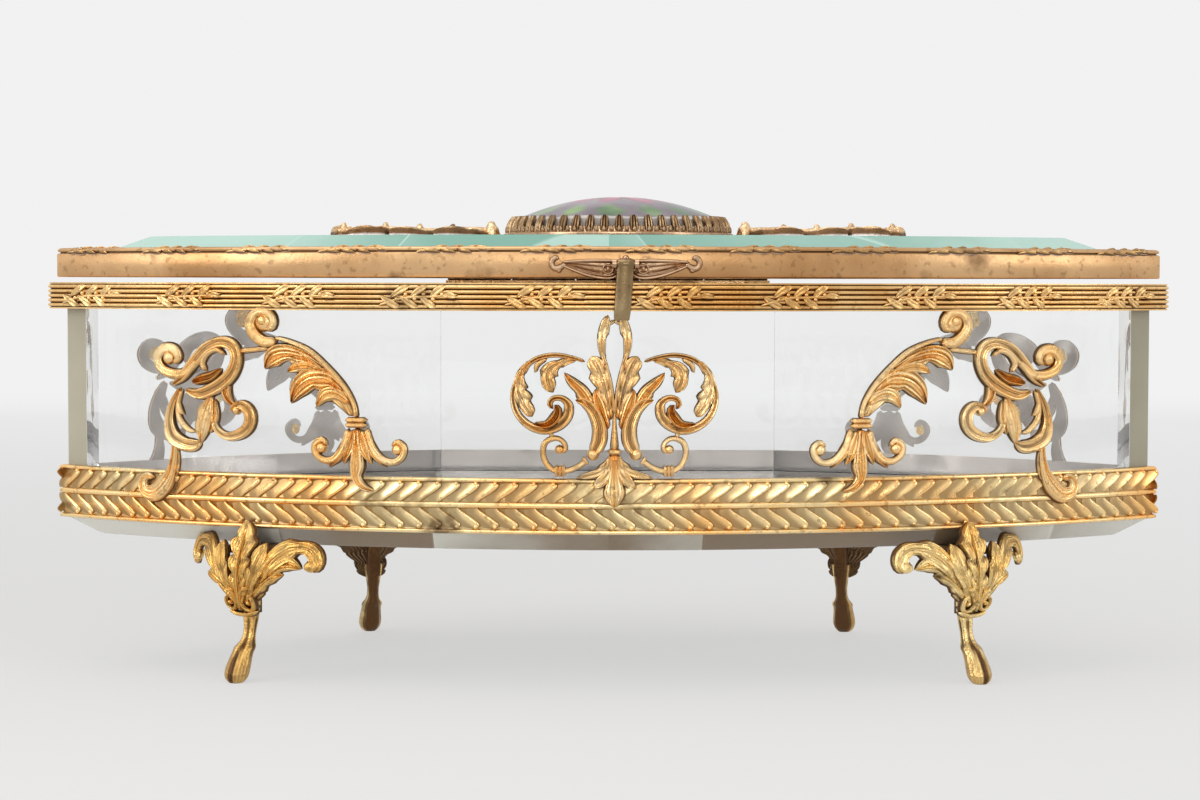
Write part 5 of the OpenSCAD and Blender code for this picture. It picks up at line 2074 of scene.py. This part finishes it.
@dataclass
class Clasp(Assembly):
    """Winged plaque on the lid frame, and the tongue that hangs from it."""

    x: float
    pivot_y: float
    pivot_z: float
    rail_out: float = 1.7
    eye_r: float = 1.1
    pin_r: float = 0.55
    tongue_w: float = 3.9
    tongue_len: float = 13.0
    lean: float = 0.9

    def plaque(self) -> Relief:
        """The two fluted wings with their volutes and leaf tips.

        Returns:
            The relief.
        """
        r = Relief(step=0.5)
        r.strap([
            (1.8, -1.3, 2, 1.6), (5, -1.2, 2.1, 1.8), (9, -0.6, 1.5, 1.7), (12.5, 0.1, 0.8, 1),
            (14.6, 0.3, 0.5),
        ], FLUTED, 0.85, across=17)
        r.strap([
            (0.8, -0.8, 0.3), (1.8, -2.4, 0.4), (4, -3.1, 0.42), (8, -2.6, 0.42), (12, -1.2, 0.4),
            (14.6, -0.1, 0.3),
        ], ROUND, 1.2, across=7)
        r.strap([(4.6, -2.2, 0.2), (8, -1.7, 0.3), (12, -0.5, 0.2)], ROUND, 1.1, across=5)
        r.strap([(5.6, -1.3, 0.2), (8.6, -0.8, 0.3), (12, 0.1, 0.2)], ROUND, 1.1, across=5)
        r.strap([(1.8, 0.9, 0.35), (6, 1, 0.4), (10.5, 0.9, 0.4), (14.6, 0.6, 0.3)], ROUND, 1.1, across=7)
        turn = np.radians(np.arange(100, 500, 36))
        ring = [(4.0 + 1.15 * math.cos(a), -0.9 + 1.15 * math.sin(a), 0.34) for a in turn]
        r.strap(ring, ROUND, 1.3, across=7)
        r.bud((4.0, -0.9), 0.7, 1.3, fine=6)
        tip = [
            (13.6, 0.3, 0.5), (15.4, -0.8, 0.8), (16.6, -0.6, 0.7), (17.0, 0.6, 0.7), (16.2, 1.6, 0.7),
            (15.2, 1.4, 0.4),
        ]
        r.strap(tip, ROUND, 1.2)
        r.bud((15.3, -1.2), 0.75, 1.1, fine=6)
        whole = r.both_sides()
        whole.strap([(-2.4, 0.6, 0.5), (0, 1, 0.7), (2.4, 0.6, 0.5)], ROUND, 1.1, across=7)
        whole.bud((0.0, 1.5), 0.8, 1.2, fine=6)
        return whole

    def build(self) -> None:
        """Makes the plaque with its ears, and the tongue."""
        front = self.plan.front
        s = front.along(self.x)
        piece = Casting("clasp_wings", Body.LID, "aged_brass", [self.finishes.plaque])
        middle = self.pivot_z - 0.2
        piece.add(self.plaque().shells, lambda x, y, h: front.place(s + x, middle + y, self.rail_out + h))
        near = self.plan.front_y - self.rail_out - 0.6
        for side in (1, -1):
            x = self.x + side * (self.tongue_w / 2 + 0.65)
            piece.add([self.ear(x - 0.45, x + 0.45, near)])
        piece.piece("clasp_plaque")
        dress("clasp_pin", self.finishes.brass)
        tongue = Casting("clasp_hasp", Body.TONGUE, "aged_brass", [self.finishes.tongue])
        tongue.add([self.blade(), self.eye()]).piece("clasp_tongue")

    def blade(self) -> Shell:
        """The flat of the tongue, with a bevelled end.

        Returns:
            The closed shell.
        """
        half, top, low = self.tongue_w / 2, self.pivot_z, self.pivot_z - self.tongue_len
        c = 0.25
        rows = []
        for z, w, near, far in (
            (top - 0.4, half, -0.85, 0.75), (top - 2.4, half, -0.85, 0.7),
            (low + 2.6, 0.98 * half, -0.75, 0.7), (low + 1.6, 0.98 * half, -0.7, 0.7),
            (low + 0.2, 0.92 * half, 0.2, 0.7), (low, 0.88 * half, 0.35, 0.62),
        ):
            x, y = self.x - self.lean * (top - z) / self.tongue_len, self.pivot_y
            rows.append([
                (x - w + c, y + near, z), (x, y + near - 0.12, z), (x + w - c, y + near, z),
                (x + w, y + near + c, z), (x + w, y + far - c / 2, z), (x + w - c, y + far, z),
                (x - w + c, y + far, z), (x - w, y + far - c / 2, z), (x - w, y + near + c, z),
            ])
        return loft(np.array(rows))

    def eye(self) -> Shell:
        """The rolled eye of the tongue round its pin.

        Returns:
            The closed shell.
        """
        half, r = self.tongue_w / 2, self.eye_r
        c, bore = 0.15, self.pin_r
        section = [(-half, r - c), (-half + c, r), (half - c, r), (half, r - c)]
        section += [(half, bore), (-half, bore)]
        rows = []
        for a in full_turn(32):
            y, z = math.cos(a), math.sin(a)
            rows.append([(self.x + x, self.pivot_y + k * y, self.pivot_z + k * z) for x, k in section])
        return loft(np.array(rows), closed=True)

    def ear(self, x0: float, x1: float, back: float) -> Shell:
        """An ear of the plaque, with a round nose about the pivot.

        Args:
            x0, x1: Its two faces.
            back: Y of its straight back edge.

        Returns:
            The closed shell.
        """
        turn = np.linspace(-math.pi / 2, math.pi / 2, 12)
        nose = [(self.pivot_y - self.eye_r * math.cos(a), self.eye_r * math.sin(a)) for a in turn]
        outline = nose + [(back, self.eye_r), (back, -self.eye_r)]
        return loft(np.array([[(x, y, self.pivot_z + z) for y, z in outline] for x in (x0, x1)], float))


@dataclass(frozen=True)
class Studio:
    """Pale floor and backdrop, soft lamps and the camera of the photograph."""

    lens: float = 75.0
    eye: Point = (-0.0021, -0.632, 0.0948)
    pitch: float = 2.63
    roll: float = -0.1
    white: tuple[float, float, float, float] = (0.885, 0.885, 0.885, 1.0)

    def seen(self, b: NodeBuilder) -> Socket:
        """Finds the rays that show the background itself, to the camera or in metal and glass.

        Args:
            b: Adds the nodes.

        Returns:
            1 for such a ray, and else 0.
        """
        ray = b.add("ShaderNodeLightPath").outputs
        shown = b.math("MAXIMUM", ray["Is Camera Ray"], ray["Is Glossy Ray"])
        return b.math("MAXIMUM", shown, ray["Is Transmission Ray"])

    def paper(self) -> Material:
        """Pale paper with painted light: painted shade darkens it from the casket backwards, it is lighter
        towards the right, and it glows for camera, glossy and transmission rays.

        Returns:
            Its material.
        """
        material, b, shader, out = new_material("studio_paper_painted_light")
        b.fill(shader, {"Base Color": (0.74, 0.735, 0.73, 1), "Roughness": 0.75, "Specular IOR Level": 0.2})
        axes = b.axes()
        # Painted shade and light on the floor: darker from the casket backwards, lighter towards the right,
        # white far back.
        near = b.mix(b.ramp(axes["Y"], -0.2, 0.1), (0.79, 0.787, 0.78, 1), (0.70, 0.698, 0.692, 1))
        side = b.mix(b.ramp(axes["X"], -0.25, 0.4), near, (0.77, 0.77, 0.765, 1))
        shown = b.mix(b.ramp(axes["Y"], 0.05, 1.3), side, self.white)
        # Painted light: a glow that the paper gives off though it is no lamp.
        painted_glow = b.add("ShaderNodeEmission", {"Color": shown, "Strength": 1.0})
        # Camera, glossy and transmission rays see at least 76 per cent painted glow, rising to all of it far
        # back.
        even = b.times(b.math("MAXIMUM", b.ramp(axes["Y"], 0.1, 1.6), 0.76), self.seen(b))
        mixed = b.add("ShaderNodeMixShader", {0: even, 1: shader.outputs[0], 2: painted_glow.outputs[0]})
        b.feed(out.inputs["Surface"], mixed.outputs[0])
        return material

    def backdrop(self) -> None:
        """Floor that rises into a wall."""
        turn = np.linspace(0, math.pi / 2, 17)
        curve = [(1.6 + 0.8 * math.sin(a), 0.8 - 0.8 * math.cos(a)) for a in turn]
        line = [(-2.4, 0.0), (1.2, 0.0)] + curve + [(2.4, 3.0)]
        n = len(line)
        mesh = bpy.data.meshes.new("backdrop")
        points = [(x, y, z) for x in (-3.5, 3.5) for y, z in line]
        mesh.from_pydata(points, [], [(i, i + n, i + n + 1, i + 1) for i in range(n - 1)])
        mesh.materials.append(self.paper())
        mesh.shade_smooth()
        linked("backdrop", mesh)

    def lamp(self, name: str, at: Point, aim: Point, size: Pair, power: float) -> None:
        """Adds a soft rectangular lamp.

        Args:
            name: Its name.
            at: Its place.
            aim: The point that it faces.
            size: Its width and height.
            power: Its power in watts.
        """
        data = bpy.data.lights.new(name, "AREA")
        data.shape, data.size, data.size_y, data.energy = "RECTANGLE", *size, power
        lamp = linked(name, data)
        lamp.location = at
        lamp.rotation_mode = "QUATERNION"
        lamp.rotation_quaternion = (Vector(aim) - Vector(at)).to_track_quat("-Z", "Y")

    def room(self) -> None:
        """The world: a pale room that is darker behind the camera."""
        world = bpy.data.worlds.new("studio")
        bpy.context.scene.world = world
        world.use_nodes = True
        world.node_tree.nodes.clear()
        b = NodeBuilder(world.node_tree)
        axes = b.axes("Generated")
        room = b.mix(b.ramp(axes["Y"], -0.8, 0.3), (0.62, 0.61, 0.59, 1), self.white)
        room = b.mix(b.ramp(axes["Z"], 0.25, 0.75), room, self.white)
        soft = b.mix(self.seen(b), (0.72, 0.72, 0.72, 1), room)
        shade = b.add("ShaderNodeBackground", {"Color": soft, "Strength": 1.0})
        b.feed(b.add("ShaderNodeOutputWorld").inputs["Surface"], shade.outputs[0])

    def build(self) -> None:
        """Makes the backdrop, the lamps, the world and the camera."""
        scene = bpy.context.scene
        scene.view_settings.view_transform = "Standard"
        self.backdrop()
        self.room()
        self.lamp("softbox_above", (-0.25, -0.1, 1.1), (0, 0, 0.05), (1.1, 0.9), 5.0)
        self.lamp("softbox_left", (-1.2, -0.75, 0.6), (0, 0, 0.06), (0.5, 0.9), 6.0)
        self.lamp("softbox_front", (0.0, -1.15, 0.42), (0, 0, 0.05), (0.6, 0.4), 2.4)
        self.lamp("softbox_right", (1.2, -0.6, 0.5), (0, 0, 0.06), (0.4, 0.8), 3.0)
        data = bpy.data.cameras.new("photo_camera")
        data.lens, data.sensor_width = self.lens, 36.0
        camera = linked("photo_camera", data)
        camera.location = self.eye
        camera.rotation_euler = (math.radians(90 - self.pitch), math.radians(self.roll), 0)
        scene.camera = camera


@dataclass
class Hinge(Assembly):
    """The plain hinge across the back, whose CAD nodes are only given their finish."""

    nodes: tuple[str, ...] = ("hinge_body_leaf", "hinge_lid_leaf", "hinge_pin")

    def build(self) -> None:
        """Dresses the two leaves and the pin."""
        for node in self.nodes:
            dress(node, self.finishes.spray)


def heights(node: str) -> Pair:
    """Lowest and highest point of a CAD node, in millimetres."""
    low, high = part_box(node)
    return low.z / MM, high.z / MM


def main() -> None:
    """Builds the casket from the feet up, and the studio around it."""
    logging.basicConfig(level=logging.INFO, format="%(message)s")
    kit = Plan.from_frame(), Finishes.mixed(), Stamper()
    Studio().build()
    lower, upper, rail = (heights(n) for n in ("lower_band_front", "upper_band_front", "lid_rail_front"))
    Glazing(*kit).build()
    LowerBand(*kit, *lower).build()
    UpperBand(*kit, *upper).build()
    LidFrame(*kit, *rail).build()
    WallMounts(*kit, band_top=lower[1]).build()
    Feet(*kit, base=heights("base_glass")[0]).build()
    glass = heights("lid_glass")[1]
    dome_low, dome_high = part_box("medallion_dome")
    middle = (dome_low.x + dome_high.x) / 2 / MM
    Medallion(*kit, middle, glass).build()
    LidSprays(*kit, middle, glass).build()
    pin_low, pin_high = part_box("clasp_pin")
    pin = (pin_low + pin_high) / 2 / MM
    Clasp(*kit, pin.x, pin.y, pin.z).build()
    Hinge(*kit).build()


if __name__ == "__main__":
    main()
